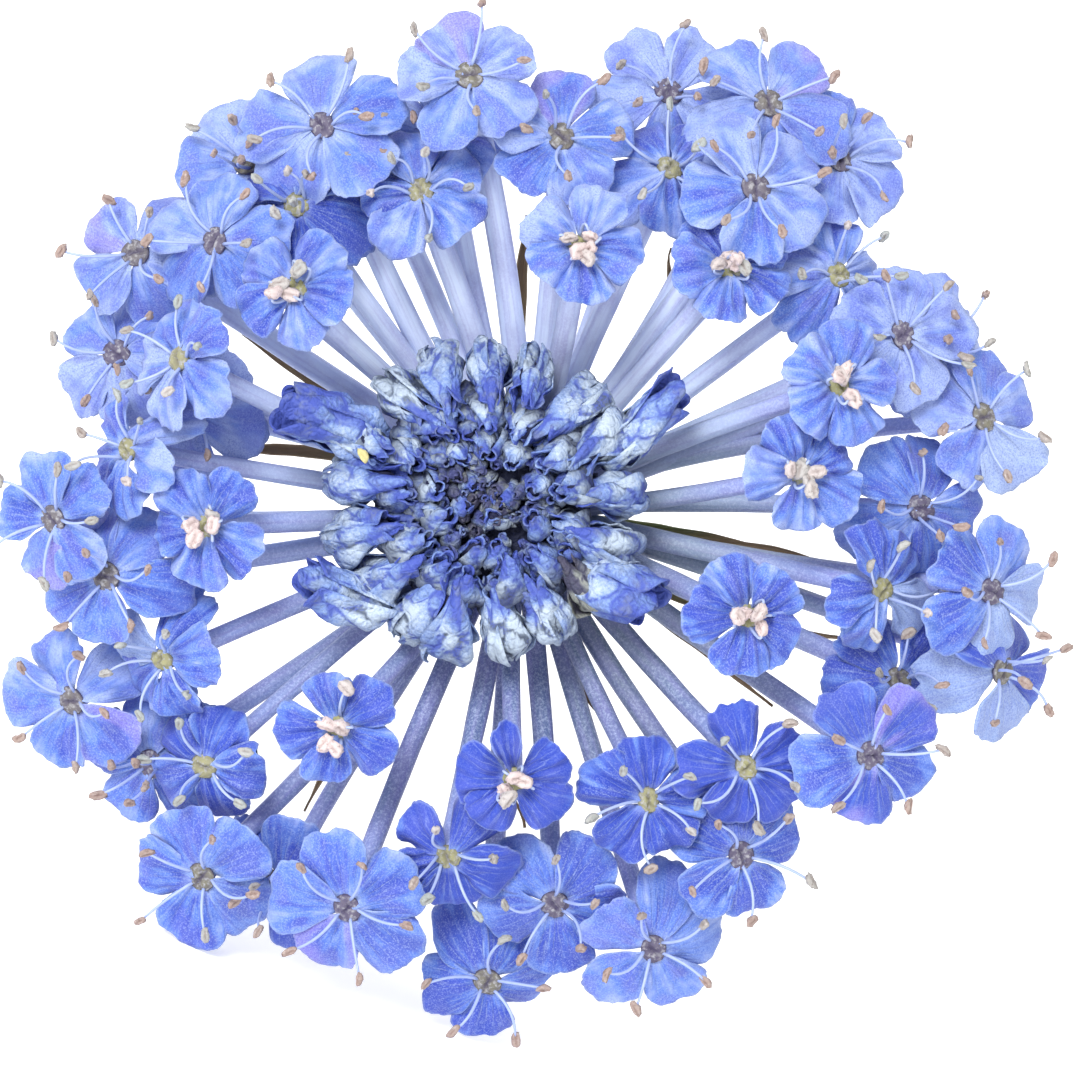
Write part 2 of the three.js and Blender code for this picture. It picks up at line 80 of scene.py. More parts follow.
# The receptacle, the height below which the main stalk is ribbed, and the stalks that leave the
# receptacle: the steepest slope, of the florets up to a radius, the flattest, the bend under a
# floret, the headings that the stalks share, and how far one first swings past its heading
RECEPTACLE_RADIUS = 2.3
RECEPTACLE_HEIGHT = 1.5
RIBS_TOP = -1
STEEPEST = 30
STEEP_RADIUS = 13
FLATTEST = 7
PEDICEL_BEND = 3.2
WAYS = (
    2.5, 18, 24, 35.5, 48, 52, 68, 74, 80.5, 91.5, 103.5, 111.5, 122.5, 127.5, 135.5, 145, 159, 172.5,
    184, 191.5, 203, 216.5, 223.5, 234, 244, 254.5, 258.5, 265, 276.5, 286, 290.5, 299, 309, 317, 324,
    329, 334, 343, 347, 357.5,
)
WAY_LEAD = 0.6

# Painted shade low on the umbel and painted light high on it, as if lit from above; how much deeper
# the petals are to the right, and how much they differ from petal to petal
LOW_PAINTED_SHADE = 0.25
HIGH_PAINTED_LIGHT = 0.04
RIGHT_DEEPER = 0.14
UNEVEN_SHADE = 0.22
PLAIN_TINTS = (-0.2, 0.3)

# What changes with a floret's age. Of a petal: reach, breadth as a share of it, the height of the
# tip, the swell of its middle, the fold along it, the height, number and sharpness of its pleats,
# the curl of its edges, the cup across it, the droop and waves of its rim, the depth of the rim's
# scallops, how much it laps over the next, its shade, the painted light and shade on its crests and
# creases, how much greyer it turns low on the umbel, and its rows of faces. Then how yellow the disc
# is, the stamens' length, freshness and the share that curl in, and the anthers' size, ripeness and
# plumpness.
AGES = {
    "old": dict(
        reach=4.1, breadth=1.06, tip=-0.4, swell=0.1, fold=0.06, ridge=0.09, pleats=9, sharp=0.2, curl=-0.1,
        cup=1.0, droop=0.1, wave=0.14, scallop=1.4, lap=0.13, shade=0.3, contrast=0.15, dusty=0.25, faces=19,
        disc=0.0, stamen=3.5, fresh=0.0, curled=0.0, anther=1.0, ripe=1.0, plump=0.45,
    ),
    "mid": dict(
        reach=3.6, breadth=1.06, tip=-0.1, swell=0.3, fold=0.1, ridge=0.2, pleats=13, sharp=0.8, curl=-0.3,
        cup=1.0, droop=0.45, wave=0.15, scallop=1.4, lap=0.14, shade=0.5, contrast=0.24, dusty=0.0, faces=21,
        disc=0.75, stamen=3.2, fresh=0.8, curled=0.0, anther=0.95, ripe=0.55, plump=0.5,
    ),
    "young": dict(
        reach=3.35, breadth=1.1, tip=0.35, swell=0.5, fold=0.12, ridge=0.22, pleats=14, sharp=0.8, curl=-0.5,
        cup=0.8, droop=0.3, wave=0.16, scallop=1.3, lap=0.16, shade=0.6, contrast=0.26, dusty=0.0, faces=23,
        disc=1.0, stamen=2.6, fresh=1.0, curled=0.93, anther=1.22, ripe=0.1, plump=0.6,
    ),
}

# A petal's outline: its breadth at the foot, and by how much it widens towards the rim, as shares of
# half its breadth; the angle over which its veins fan out to a side; the depths of the notches round
# its rim with how often they come; and the share of each wave round its rim with its number
FOOT_BREADTH = 0.24
RIM_BREADTH = 0.88
VEIN_FAN = 0.62
CRENATIONS = ((0.07, 1.3), (0.028, 4), (0.016, 9))
WAVES = ((1, 3), (0.7, 5), (0.3, 9))

# A furled petal is narrow, stands higher and curls up at its edges
FURLED_BREADTH = 0.45
FURLED_RISE = 0.5
FURLED_CURL = -2

# Heights between which a petal's tip is taken from the middle of a solid that is cut at its end, and
# the share of the tip's height that the middle has
LOWEST_TIP = -2.4
HIGHEST_TIP = 0.6
MIDDLE_RISE = 0.35


def floret(x, y, turn, age, layer, reach=None, lean=None, shade=None, purple=(), pale=(), furled=()):
    """One floret: its place, the turn of its first petal, its age and layer, and what is its own"""
    return dict(x=x, y=y, turn=turn, age=age, layer=layer, reach=reach, lean=lean, shade=shade,
                purple=purple, pale=pale, furled=furled)


# Every open floret, from the photograph
FLORETS = [
    floret(-10.2, 19.7, 24, "old", 2, reach=4.6, shade=0.38),
    floret(-14.2, 18, 45, "old", 0),
    floret(-19.9, 13.2, 69, "old", 1, shade=0.2, purple=(1,)),
    floret(-15.7, 13.7, 5, "old", 2, shade=0.4),
    floret(-11.5, 11.2, 60, "young", 3, shade=0.4),
    floret(-11.5, 15.6, 60, "mid", 1, shade=0.95),
    floret(-17.4, 7.6, 30, "mid", 3, lean=45, shade=0.3),
    floret(-20.9, 8, 66, "old", 0, reach=3.8, shade=0.1),
    floret(-20.1, 3, 40, "mid", 2, lean=48, shade=0.45),
    floret(-17.3, 5.3, 50, "old", -1, shade=0.1),
    floret(-24, -0.6, 28, "old", 3, reach=3.75, shade=0.5, purple=(3,)),
    floret(-21.3, -3.5, 50, "old", 2, shade=0.45),
    floret(-16, -0.9, 335, "young", 2),
    floret(-18.4, -7.8, 70, "mid", 1, lean=40, pale=(1,)),
    floret(-23.3, -10, 33, "old", 0, shade=0.2, purple=(4,)),
    floret(-19.2, -13.3, 22, "old", -1, shade=0.4),
    floret(-16.3, -13.3, 65, "mid", 0.3, shade=0.8),
    floret(-16.5, -19.1, 35, "old", 1, shade=0.5),
    floret(-8.9, -20.6, 27, "old", 2, reach=4.35, shade=0.3, purple=(3,)),
    floret(-12.6, -19.5, 5, "old", -1, shade=0.65),
    floret(-9.3, -11.2, 41, "young", 2, shade=0.6),
    floret(-0.3, -13.9, 25, "young", 2, shade=1.25, furled=(1,)),
    floret(-3.7, -17.9, 60, "mid", 1, lean=35, shade=1),
    floret(1.8, -20.5, 59, "old", 0, shade=0.5),
    floret(-1.7, -24.6, 50, "old", -0.6, reach=3.9, shade=0.6),
    floret(6.9, -22.8, 3, "old", 0.8, shade=0.15),
    floret(6.6, -15, 12, "mid", 1, shade=0.9),
    floret(11.6, -13.3, 26, "mid", 2, shade=1.15),
    floret(11.4, -17.9, 12, "old", 1.5, shade=0.65),
    floret(18, -12.7, 50, "old", 3, reach=4.4, shade=0.6, purple=(0, 3)),
    floret(11.6, -5.5, 35, "young", 3, shade=0.6),
    floret(18.6, -4.2, 40, "mid", 1.5, lean=40, pale=(4,)),
    floret(24.3, -4.3, 65, "old", 2.3, lean=35, shade=0.45, pale=(3, 4)),
    floret(25, -8.4, 47, "old", 1, lean=50, shade=0.7, pale=(2, 3)),
    floret(19.6, -8.9, 50, "old", 0, shade=0.45, pale=(3,)),
    floret(20.7, 0, 62, "old", 0.6, shade=0.35),
    floret(24, 4.7, 20, "old", 1, shade=0.1, pale=(4,)),
    floret(16.3, 6.3, 5, "young", 3, shade=0.35),
    floret(14.4, 1.7, 37, "young", 2, shade=0.35),
    floret(10.8, 12.3, 43, "young", 2),
    floret(16.4, 12, 18, "mid", 1, lean=32, shade=0.4),
    floret(19.7, 8.9, 12, "old", 2, shade=0.0),
    floret(21.9, 8.4, 20, "old", 0, shade=0.0),
    floret(16.5, 18.1, 38, "old", 1),
    floret(12.8, 20.9, 58, "old", 2, reach=4.5, shade=0.45, purple=(0,)),
    floret(12.1, 16.4, 42, "old", 3, shade=0.45),
    floret(7.7, 21.6, 50, "old", 0, shade=0.15),
    floret(7.7, 17.5, 52, "mid", 1),
    floret(2.1, 19.1, 15, "old", 1.6, shade=0.45, purple=(1,)),
    floret(3.1, 13.3, 65, "young", 3, shade=0.3),
    floret(-2.6, 22.2, 37, "old", 3, shade=0.2, purple=(1,)),
    floret(-4.1, 19.5, 10, "old", 0, shade=0.25),
    floret(-5.1, 16.3, 33, "mid", 1, shade=0.45),
    floret(-7.6, 18.1, 66, "old", -1, shade=0.75),
]

# The head of buds, as in the solids: rings from the outside in, and the buds that stand out from its
# edge, each with its foot, its tip and its width
HEAD_X = -1.8
HEAD_Y = 0.4
HEAD_TOP = 9.6
BUD_RINGS = [
    dict(count=17, radius=7.5, foot=7.4, lean=-48, length=4.3, width=2.1),
    dict(count=13, radius=4.9, foot=8.6, lean=-36, length=2.7, width=1.7),
    dict(count=9, radius=2.9, foot=9.3, lean=-22, length=2.0, width=1.4),
    dict(count=4, radius=1.1, foot=9.4, lean=-8, length=1.6, width=1.2),
]
STRAY_BUDS = [
    ((-8, 3.6, 7.6), (-12.8, 6.2, 9.6), 2.3),
    ((-7.4, -4.9, 7.6), (-12.2, -3.6, 9.3), 2.3),
    ((5, 3, 7.4), (9.2, 6, 9.6), 1.8),
    ((3.6, -3.4, 7.6), (7.2, -5.6, 9.4), 2.5),
]

# How a bud is made: its petals and their faces, how wide its mouth stands as a share of its girth,
# how much painted shade darkens its foot and how much bluer it is than most; and how thick its petals are
OUTER_BUD = dict(leaves=5, columns=14, rows=24, mouth=0.5, buried=0.2, bluer=0.0)
STRAY_BUD = dict(OUTER_BUD, mouth=1.05, buried=0.0, bluer=0.22)
INNER_BUD = dict(OUTER_BUD, leaves=4, columns=9, rows=14, mouth=0.45, buried=0.75)
YOUNGER_BUD = dict(INNER_BUD, leaves=3)
SMALL_BUD = dict(OUTER_BUD, leaves=3, columns=6, rows=8, mouth=0.45, buried=0.9)
BUD_LEAF_THICKNESS = 0.08

# A bud of the rings is an outer one if it is longer than the first length, and a younger one if it is
# not longer than the second
OUTER_LENGTH = 3.2
INNER_LENGTH = 2.3

# The very small buds: how many, the radius that they fill and the turn from one to the next
SMALL_BUDS = 110
SMALL_REACH = 6
GOLDEN_ANGLE = 137.5

# The ground under the buds, painted dark as shade, and the withered scraps at their feet
HEART_RADIUS = 5.4
HEART_HEIGHT = 7.2
HEART_RISE = 1.6
CRUMB_RADIUS = 0.3
CRUMB_DEPTH = 0.35

# Where one outer bud has dried up, how far gone it is and how much of its size is left, and where an
# anther has fallen
DRIED_PLACE = (3.6, -4.5)
DRIED_SHARE = 0.85
DRIED_SIZE = 0.8
STRAY_ANTHER = (-8.0, 2.7, 11.4)

# Bracts: the heading of each, how far it reaches, and by how many degrees it bends behind a stalk
BRACTS = (
    (2, 17, 0), (41, 17.7, 7), (60, 15.9, -7.5), (75, 16, 0), (90, 15.5, 0), (133, 13, 0),
    (149, 17.3, 0), (165, 16, 0), (232, 19.6, 0), (271, 16.8, -5.5), (289, 13, 0), (322, 16.9, 0),
    (334, 18, 0), (351, 16.4, 0),
)
BRACT_THICKNESS = 0.16
COLLAR_TOP = -1.35
COLLAR_HEIGHT = 1

# How fine the materials' grains are, in cells to a metre
PETAL_GRAIN = 11000
DISC_WARTS = 4200
FILAMENT_SHINE = 2500
ANTHER_POLLEN = 4500
STALK_GRAIN = 7000
BUD_SPOTS = 1000
BUD_GRAIN = 8000
BUD_CRACKS = 2100

# The stage: the floor's half width in metres, its colour and glow, the lights, and the camera
FLOOR_HALF = 5
FLOOR_COLOUR = (0.985, 0.985, 0.99)
FLOOR_GLOW = 0.32
SKY_STRENGTH = 1.05
KEY_STRENGTH = 2.8
KEY_SOFTNESS = 22
KEY_AIM = (0.22, -0.5, -1.0)
PHOTO_CENTRE = (1.03, -1.65)
PHOTO_WIDTH = 55.73
FACE_HEIGHT = 8.0
CAMERA_DISTANCE = 420
SENSOR = 36


# Sizes and colours to change


def millimetres(name, description, value):
    """A size property, whose value is given in millimetres"""
    return FloatProperty(name=name, description=description, default=value * MM, min=0, precision=5,
                         subtype="DISTANCE", unit="LENGTH")


def colour(name, description, value):
    """A colour property, in linear light"""
    return FloatVectorProperty(name=name, description=description, subtype="COLOR", size=3, min=0, max=1,
                               default=value)


class FlowerSizes(bpy.types.PropertyGroup):
    """Sizes of the flower's fine parts"""

    petal_thickness: millimetres("Petal thickness", "Thickness of a petal", 0.09)
    crinkle: millimetres("Crinkle", "Unevenness of a petal's surface", 0.14)
    filament_radius: millimetres("Filament radius", "Radius of a stamen's thread", 0.08)
    anther_length: millimetres("Anther length", "Length of an anther", 0.88)
    disc_radius: millimetres("Disc radius", "Radius of a floret's disc", 0.8)
    pedicel_radius: millimetres("Floret stalk radius", "Radius of a floret's stalk", 0.52)
    stalk_radius: millimetres("Stalk radius", "Radius of the main stalk", 1.25)
    bract_width: millimetres("Bract width", "Width of a bract at its middle", 0.62)


class FlowerColours(bpy.types.PropertyGroup):
    """Colours of the flower's surfaces"""

    petal_deep: colour("Petal, deep", "Deepest blue of a young petal", (0.026, 0.06, 0.42))
    petal_mid: colour("Petal, middle", "Blue of a petal between its veins", (0.1, 0.195, 0.6))
    petal_light: colour("Petal, light", "Blue of a petal that has faded", (0.29, 0.37, 0.69))
    petal_rim: colour("Petal, rim", "Pale edge and veins of a petal", (0.45, 0.56, 0.78))
    petal_violet: colour("Petal, violet", "Violet cast over parts of a petal", (0.17, 0.18, 0.55))
    petal_purple: colour("Petal, purple", "Tinge of the petals that turn purple", (0.23, 0.19, 0.58))
    petal_pale: colour("Petal, pale", "Petals that have faded to grey", (0.33, 0.42, 0.62))
    disc_young: colour("Disc, young", "Yellow-green disc of a fresh floret", (0.32, 0.31, 0.14))
    disc_old: colour("Disc, old", "Grey-purple disc of an old floret", (0.1, 0.085, 0.14))
    disc_tan: colour("Disc, tan", "Tan-green disc of an old floret", (0.16, 0.15, 0.11))
    # Painted highlight on the tops of a disc's warts
    disc_wart_highlight: colour("Disc, warts", "Pale tops of a disc's warts", (0.4, 0.4, 0.42))
    # Painted shade in the groove, the furrow round each lobe and the lower flank of a disc
    disc_painted_shade: colour("Disc, groove", "Groove between a disc's lobes", (0.035, 0.025, 0.08))
    filament: colour("Filament", "Threads of the stamens", (0.33, 0.4, 0.62))
    filament_shine: colour("Filament, shine", "Clear places along the threads", (0.5, 0.56, 0.7))
    anther_tan: colour("Anther, old", "Anthers that have opened", (0.34, 0.25, 0.22))
    anther_green: colour("Anther, middle", "Anthers about to open", (0.33, 0.37, 0.36))
    anther_pink: colour("Anther, young", "Anthers of a fresh floret", (0.68, 0.56, 0.55))
    anther_yellow: colour("Anther, stray", "Anther that has fallen among the buds", (0.62, 0.55, 0.2))
    anther_pollen: colour("Anther, pollen", "Pollen grains on the anthers", (0.6, 0.53, 0.5))
    anther_dark: colour("Anther, pits", "Pits between the pollen grains", (0.12, 0.07, 0.06))
    anther_groove: colour("Anther, groove", "Groove along an anther", (0.14, 0.06, 0.05))
    stalk_lilac: colour("Stalk, lilac", "Stalks towards the florets", (0.26, 0.33, 0.66))
    stalk_grey: colour("Stalk, grey", "Stalks near the buds", (0.33, 0.42, 0.62))
    # Pale grain of the stalks, which also paints light on the upper stalks
    stalk_grain_and_light: colour("Stalk, bright", "Bloom on the upper stalks", (0.68, 0.78, 0.98))
    # Painted shade on the lower stalks
    stalk_painted_shade: colour("Stalk, deep", "Lower stalks", (0.07, 0.11, 0.26))
    stalk_violet: colour("Stalk, violet", "Darker flecks on the stalks", (0.22, 0.2, 0.5))
    stalk_green: colour("Stalk, green", "Main stalk", (0.15, 0.2, 0.08))
    stalk_moss: colour("Stalk, moss", "Paler lines along the main stalk", (0.26, 0.32, 0.17))
    bract_olive: colour("Bract, olive", "Foot of a bract", (0.13, 0.145, 0.035))
    bract_brown: colour("Bract, brown", "Dry tip of a bract", (0.15, 0.09, 0.04))
    bract_straw: colour("Bract, straw", "Paler streaks along a bract", (0.24, 0.18, 0.07))
    bud_pale: colour("Bud, pale", "Bloom on the buds", (0.52, 0.62, 0.74))
    bud_middle: colour("Bud, middle", "Blue between the bloom and the tip", (0.18, 0.28, 0.57))
    bud_blue: colour("Bud, blue", "Tips of the buds", (0.055, 0.09, 0.42))
    bud_grey: colour("Bud, grey", "Greenish-grey patches on the buds", (0.22, 0.26, 0.3))
    bud_dried: colour("Bud, dried", "Swellings of the withered buds", (0.34, 0.34, 0.26))
    # Husk of the withered buds, which also paints the shade in their creases
    bud_husk: colour("Bud, husk", "Hollows of the withered buds", (0.06, 0.05, 0.05))
    bud_shadow: colour("Bud, creases", "Greenish shade in the creases of the buds", (0.045, 0.065, 0.11))
    # Thin edges of the buds' petals, painted pale as a highlight
    bud_lip_highlight: colour("Bud, lips", "Thin edges of the buds' petals", (0.4, 0.5, 0.76))
    # Painted shade in the buds' mouths, at their feet and in the gaps among them
    bud_painted_shade: colour("Bud, hollow", "Mouths of the buds and the gaps among them", (0.004, 0.006, 0.04))


# Where things are


def turned(degrees, axis):
    """A turn about an axis"""
    return Matrix.Rotation(math.radians(degrees), 4, axis)


def find_place():
    """The matrix from the umbel's frame, in mm, to the row frame: the cut end gives the shift"""
    turn = turned(90 - SLOPE, "X") @ turned(ROLL, "Z")
    down = turn @ Vector((0, 0, -1))
    places = [v.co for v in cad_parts["stem"].data.vertices]
    furthest = max(p.dot(down) for p in places)
    end = [p for p in places if p.dot(down) > furthest - 0.01 * MM]
    middle = Vector([(min(p[i] for p in end) + max(p[i] for p in end)) / 2 for i in range(3)])
    return Matrix.Translation(middle - down * STALK_LENGTH * MM) @ turn @ Matrix.Scale(MM, 4)


PLACE = find_place()


def draws(seed):
    """The solids' repeatable draw between 0 and 1"""
    state = seed
    while True:
        state = (state * 1664525 + 1013904223) % 4294967296
        yield state / 4294967296


def heading(around, over):
    """A direction at an angle round the axis and an angle over the umbel's plane, in degrees"""
    a, o = math.radians(around), math.radians(over)
    return Vector((math.cos(a) * math.cos(o), math.sin(a) * math.cos(o), math.sin(o)))


def smooth(low, high, value):
    """0 below low, 1 above high and an even rise between"""
    t = min(1, max(0, (value - low) / (high - low)))
    return t * t * (3 - 2 * t)


def bump(value, width):
    """1 at 0, falling off evenly to both sides over about the width"""
    return math.exp(-((value / width) ** 2))


def mix(a, b, share):
    """From a to b by a share"""
    return a + (b - a) * share


def seat(spec):
    """Where a floret sits: its radius from the axis, its outward direction and its own frame"""
    radius = math.hypot(spec["x"], spec["y"])
    outward = Vector((spec["x"], spec["y"], 0)) / radius
    slope = math.degrees(math.atan(2 * DOME_DROP * radius / RIM**2))
    lean = math.radians(TILT * slope if spec["lean"] is None else spec["lean"])
    normal = outward * math.sin(lean) + Vector((0, 0, math.cos(lean)))
    petal = heading(spec["turn"], 0)
    along = (petal - normal * petal.dot(normal)).normalized()
    height = CROWN - DOME_DROP * (radius / RIM) ** 2 + (spec["layer"] - 1) * LAYER_STEP
    centre = Vector((spec["x"], spec["y"], height))
    axes = Matrix((along, normal.cross(along), normal)).transposed().to_4x4()
    return radius, outward, Matrix.Translation(centre) @ axes


# Mesh helpers


def new_bmesh():
    """A bmesh whose points carry a place on their part and a hue, for the materials"""
    bm = bmesh.new()
    bm.verts.layers.float_vector.new("where")
    bm.verts.layers.float_vector.new("hue")
    return bm


def place_points(bm, verts, form):
    """Moves and marks each point: form gives its place, its place on the part and its hue"""
    where = bm.verts.layers.float_vector["where"]
    hue = bm.verts.layers.float_vector["hue"]
    for vert in verts:
        vert.co, vert[where], vert[hue] = form(vert.co.copy())
    return verts


def sheet(bm, rows, columns, form):
    """A grid of faces whose points form(s, t), with s and t from -1 to 1, moves and marks"""
    made = bmesh.ops.create_grid(bm, x_segments=rows, y_segments=columns, size=1)["verts"]
    return place_points(bm, made, lambda p: form(p.x, p.y))


def blob(bm, columns, rows, form):
    """A rounded body: form(direction) places and marks each point of a unit ball"""
    made = bmesh.ops.create_uvsphere(bm, u_segments=columns, v_segments=rows, radius=1)["verts"]
    return place_points(bm, made, form)


def add_part(bm, make, *given):
    """Makes a part in a mesh of its own and adds it, so that each step stays quick in a large piece"""
    part = new_bmesh()
    make(part, *given)
    mesh = bpy.data.meshes.new("part")
    part.to_mesh(mesh)
    part.free()
    bm.from_mesh(mesh)
    bpy.data.meshes.remove(mesh)


def faces_of(verts):
    """The faces whose corners are all among the points"""
    chosen = set(verts)
    near = dict.fromkeys(f for v in verts for f in v.link_faces)
    return [f for f in near if all(v in chosen for v in f.verts)]


def tube(bm, path, radius, rings, sides, mark, side=Vector((0, 0, 1))):
    """A closed round tube: path(u) and radius(u, angle) for u from 0 to 1, closed at both ends"""
    step = 0.5 / rings

    def form(s, t):
        u, angle = (s + 1) / 2, math.pi * (t + 1)
        ahead = path(min(1, u + step)) - path(max(0, u - step))
        across = side.cross(ahead).normalized()
        other = ahead.normalized().cross(across)
        r = radius(u, angle)
        place = path(u) + across * (r * math.cos(angle)) + other * (r * math.sin(angle))
        return place, *mark(u, angle)

    return close_seams(bm, sheet(bm, rings, sides, form))


def close_seams(bm, verts):
    """Joins the seam of a rolled sheet, and caps its ends"""
    bmesh.ops.remove_doubles(bm, verts=verts, dist=1e-5)
    left = [v for v in verts if v.is_valid]
    rims = [e for e in dict.fromkeys(e for v in left for e in v.link_edges) if e.is_boundary]
    bmesh.ops.edgeloop_fill(bm, edges=rims)
    bmesh.ops.recalc_face_normals(bm, faces=faces_of(left))
    return left


def paint(verts, index):
    """Gives the points' faces a material and smooths them"""
    for face in faces_of(verts):
        face.material_index = index
        face.smooth = True


def shell(bm, rows, columns, form, thickness):
    """A thin closed petal or leaf: a sheet with a second side set off along its slope, and rims"""
    flat = faces_of(sheet(bm, rows, columns, form))
    bmesh.ops.recalc_face_normals(bm, faces=flat)
    bm.normal_update()
    grown = bmesh.ops.extrude_face_region(bm, geom=flat, use_keep_orig=True)
    for vert in grown["geom"]:
        if isinstance(vert, bmesh.types.BMVert):
            vert.co -= vert.normal * thickness
    bmesh.ops.recalc_face_normals(bm, faces=bm.faces)
    paint(bm.verts, 0)


def crumple(place, size):
    """Facets about a size apart: how high a place is on its own, up to 1, and how near their edges"""
    near = noise.voronoi(place / size, distance_metric="MANHATTAN")[0]
    return 1 - near[0], 1 - smooth(0, 0.4, near[1] - near[0])


def finish_piece(bm, name, nodes, materials):
    """The bmesh as an object that rides on the flower and stands for its solids"""
    bmesh.ops.transform(bm, matrix=PLACE, verts=bm.verts)
    mesh = bpy.data.meshes.new(name)
    bm.to_mesh(mesh)
    bm.free()
    for material in materials:
        mesh.materials.append(material)
    piece = bpy.data.objects.new(name, mesh)
    bpy.context.scene.collection.objects.link(piece)
    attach(piece, "root")
    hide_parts(*nodes)


# Materials


class Surface:
    """A material in the making: each method adds a node and gives what comes out of it"""

    def __init__(self, name, roughness):
        self.material = bpy.data.materials.new(name)
        self.material.use_nodes = True
        self.tree = self.material.node_tree
        self.shader = self.tree.nodes["Principled BSDF"]
        self.set(Roughness=roughness)

    def set(self, **values):
        """Sets the shader's own inputs, with _ for a space in a name"""
        for name, value in values.items():
            self.shader.inputs[name.replace("_", " ")].default_value = value

    def put(self, socket, value):
        """Links an output to a socket, or sets the socket to a number or a colour"""
        if hasattr(value, "is_output"):
            self.tree.links.new(value, socket)
        elif socket.type == "RGBA":
            socket.default_value = (*value, 1)
        else:
            socket.default_value = value

    def calc(self, operation, a, b=0.0):
        """One step of arithmetic"""
        node = self.tree.nodes.new("ShaderNodeMath")
        node.operation = operation
        self.put(node.inputs[0], a)
        self.put(node.inputs[1], b)
        return node.outputs[0]

    def times(self, a, b):
        """The product"""
        return self.calc("MULTIPLY", a, b)

    def total(self, first, *others):
        """The sum"""
        for other in others:
            first = self.calc("ADD", first, other)
        return first

    def swing(self, pattern, width):
        """A pattern's ups and downs about its middle, brought to a width"""
        return self.times(self.calc("SUBTRACT", pattern, 0.5), width)

    def spread(self, value, low, high, to_low=0.0, to_high=1.0):
        """The value's range from low to high, brought smoothly to another"""
        node = self.tree.nodes.new("ShaderNodeMapRange")
        node.interpolation_type = "SMOOTHSTEP"
        for socket, given in zip(node.inputs, (value, low, high, to_low, to_high)):
            self.put(socket, given)
        return node.outputs[0]

    def blend(self, share, a, b):
        """From one colour to another by a share"""
        node = self.tree.nodes.new("ShaderNodeMix")
        node.data_type = "RGBA"
        self.put(node.inputs["Factor"], share)
        self.put(node.inputs[6], a)
        self.put(node.inputs[7], b)
        return node.outputs[2]

    def attribute(self, name):
        """The three numbers of a point attribute"""
        source = self.tree.nodes.new("ShaderNodeAttribute")
        source.attribute_name = name
        split = self.tree.nodes.new("ShaderNodeSeparateXYZ")
        self.tree.links.new(source.outputs["Vector"], split.inputs[0])
        return split.outputs[0], split.outputs[1], split.outputs[2]

    def joined(self, x, y, z):
        """Three numbers as one place"""
        node = self.tree.nodes.new("ShaderNodeCombineXYZ")
        for socket, value in zip(node.inputs, (x, y, z)):
            self.put(socket, value)
        return node.outputs[0]

    def here(self):
        """The place on the object, in metres"""
        return self.tree.nodes.new("ShaderNodeTexCoord").outputs["Object"]

    def mottle(self, vector, scale, detail=3.0, roughness=0.6):
        """Soft noise from 0 to 1"""
        node = self.tree.nodes.new("ShaderNodeTexNoise")
        self.put(node.inputs["Vector"], vector)
        node.inputs["Scale"].default_value = scale
        node.inputs["Detail"].default_value = detail
        node.inputs["Roughness"].default_value = roughness
        return node.outputs["Fac"]

    def grain(self, scale):
        """Fine sharp noise, like the cells of a skin"""
        return self.mottle(self.here(), scale, 3.0, 0.8)

    def cracks(self, scale):
        """How near a place is to the edge of its cell, from 0 on the edge"""
        node = self.tree.nodes.new("ShaderNodeTexVoronoi")
        node.feature = "DISTANCE_TO_EDGE"
        self.put(node.inputs["Vector"], self.here())
        node.inputs["Scale"].default_value = scale
        return node.outputs["Distance"]

    def finish(self, body, height, depth):
        """The material with its colour, and a relief of a depth in millimetres"""
        self.put(self.shader.inputs["Base Color"], body)
        node = self.tree.nodes.new("ShaderNodeBump")
        node.inputs["Distance"].default_value = depth * MM
        node.inputs["Strength"].default_value = 1.0
        self.put(node.inputs["Height"], height)
        self.tree.links.new(node.outputs["Normal"], self.shader.inputs["Normal"])
        return self.material


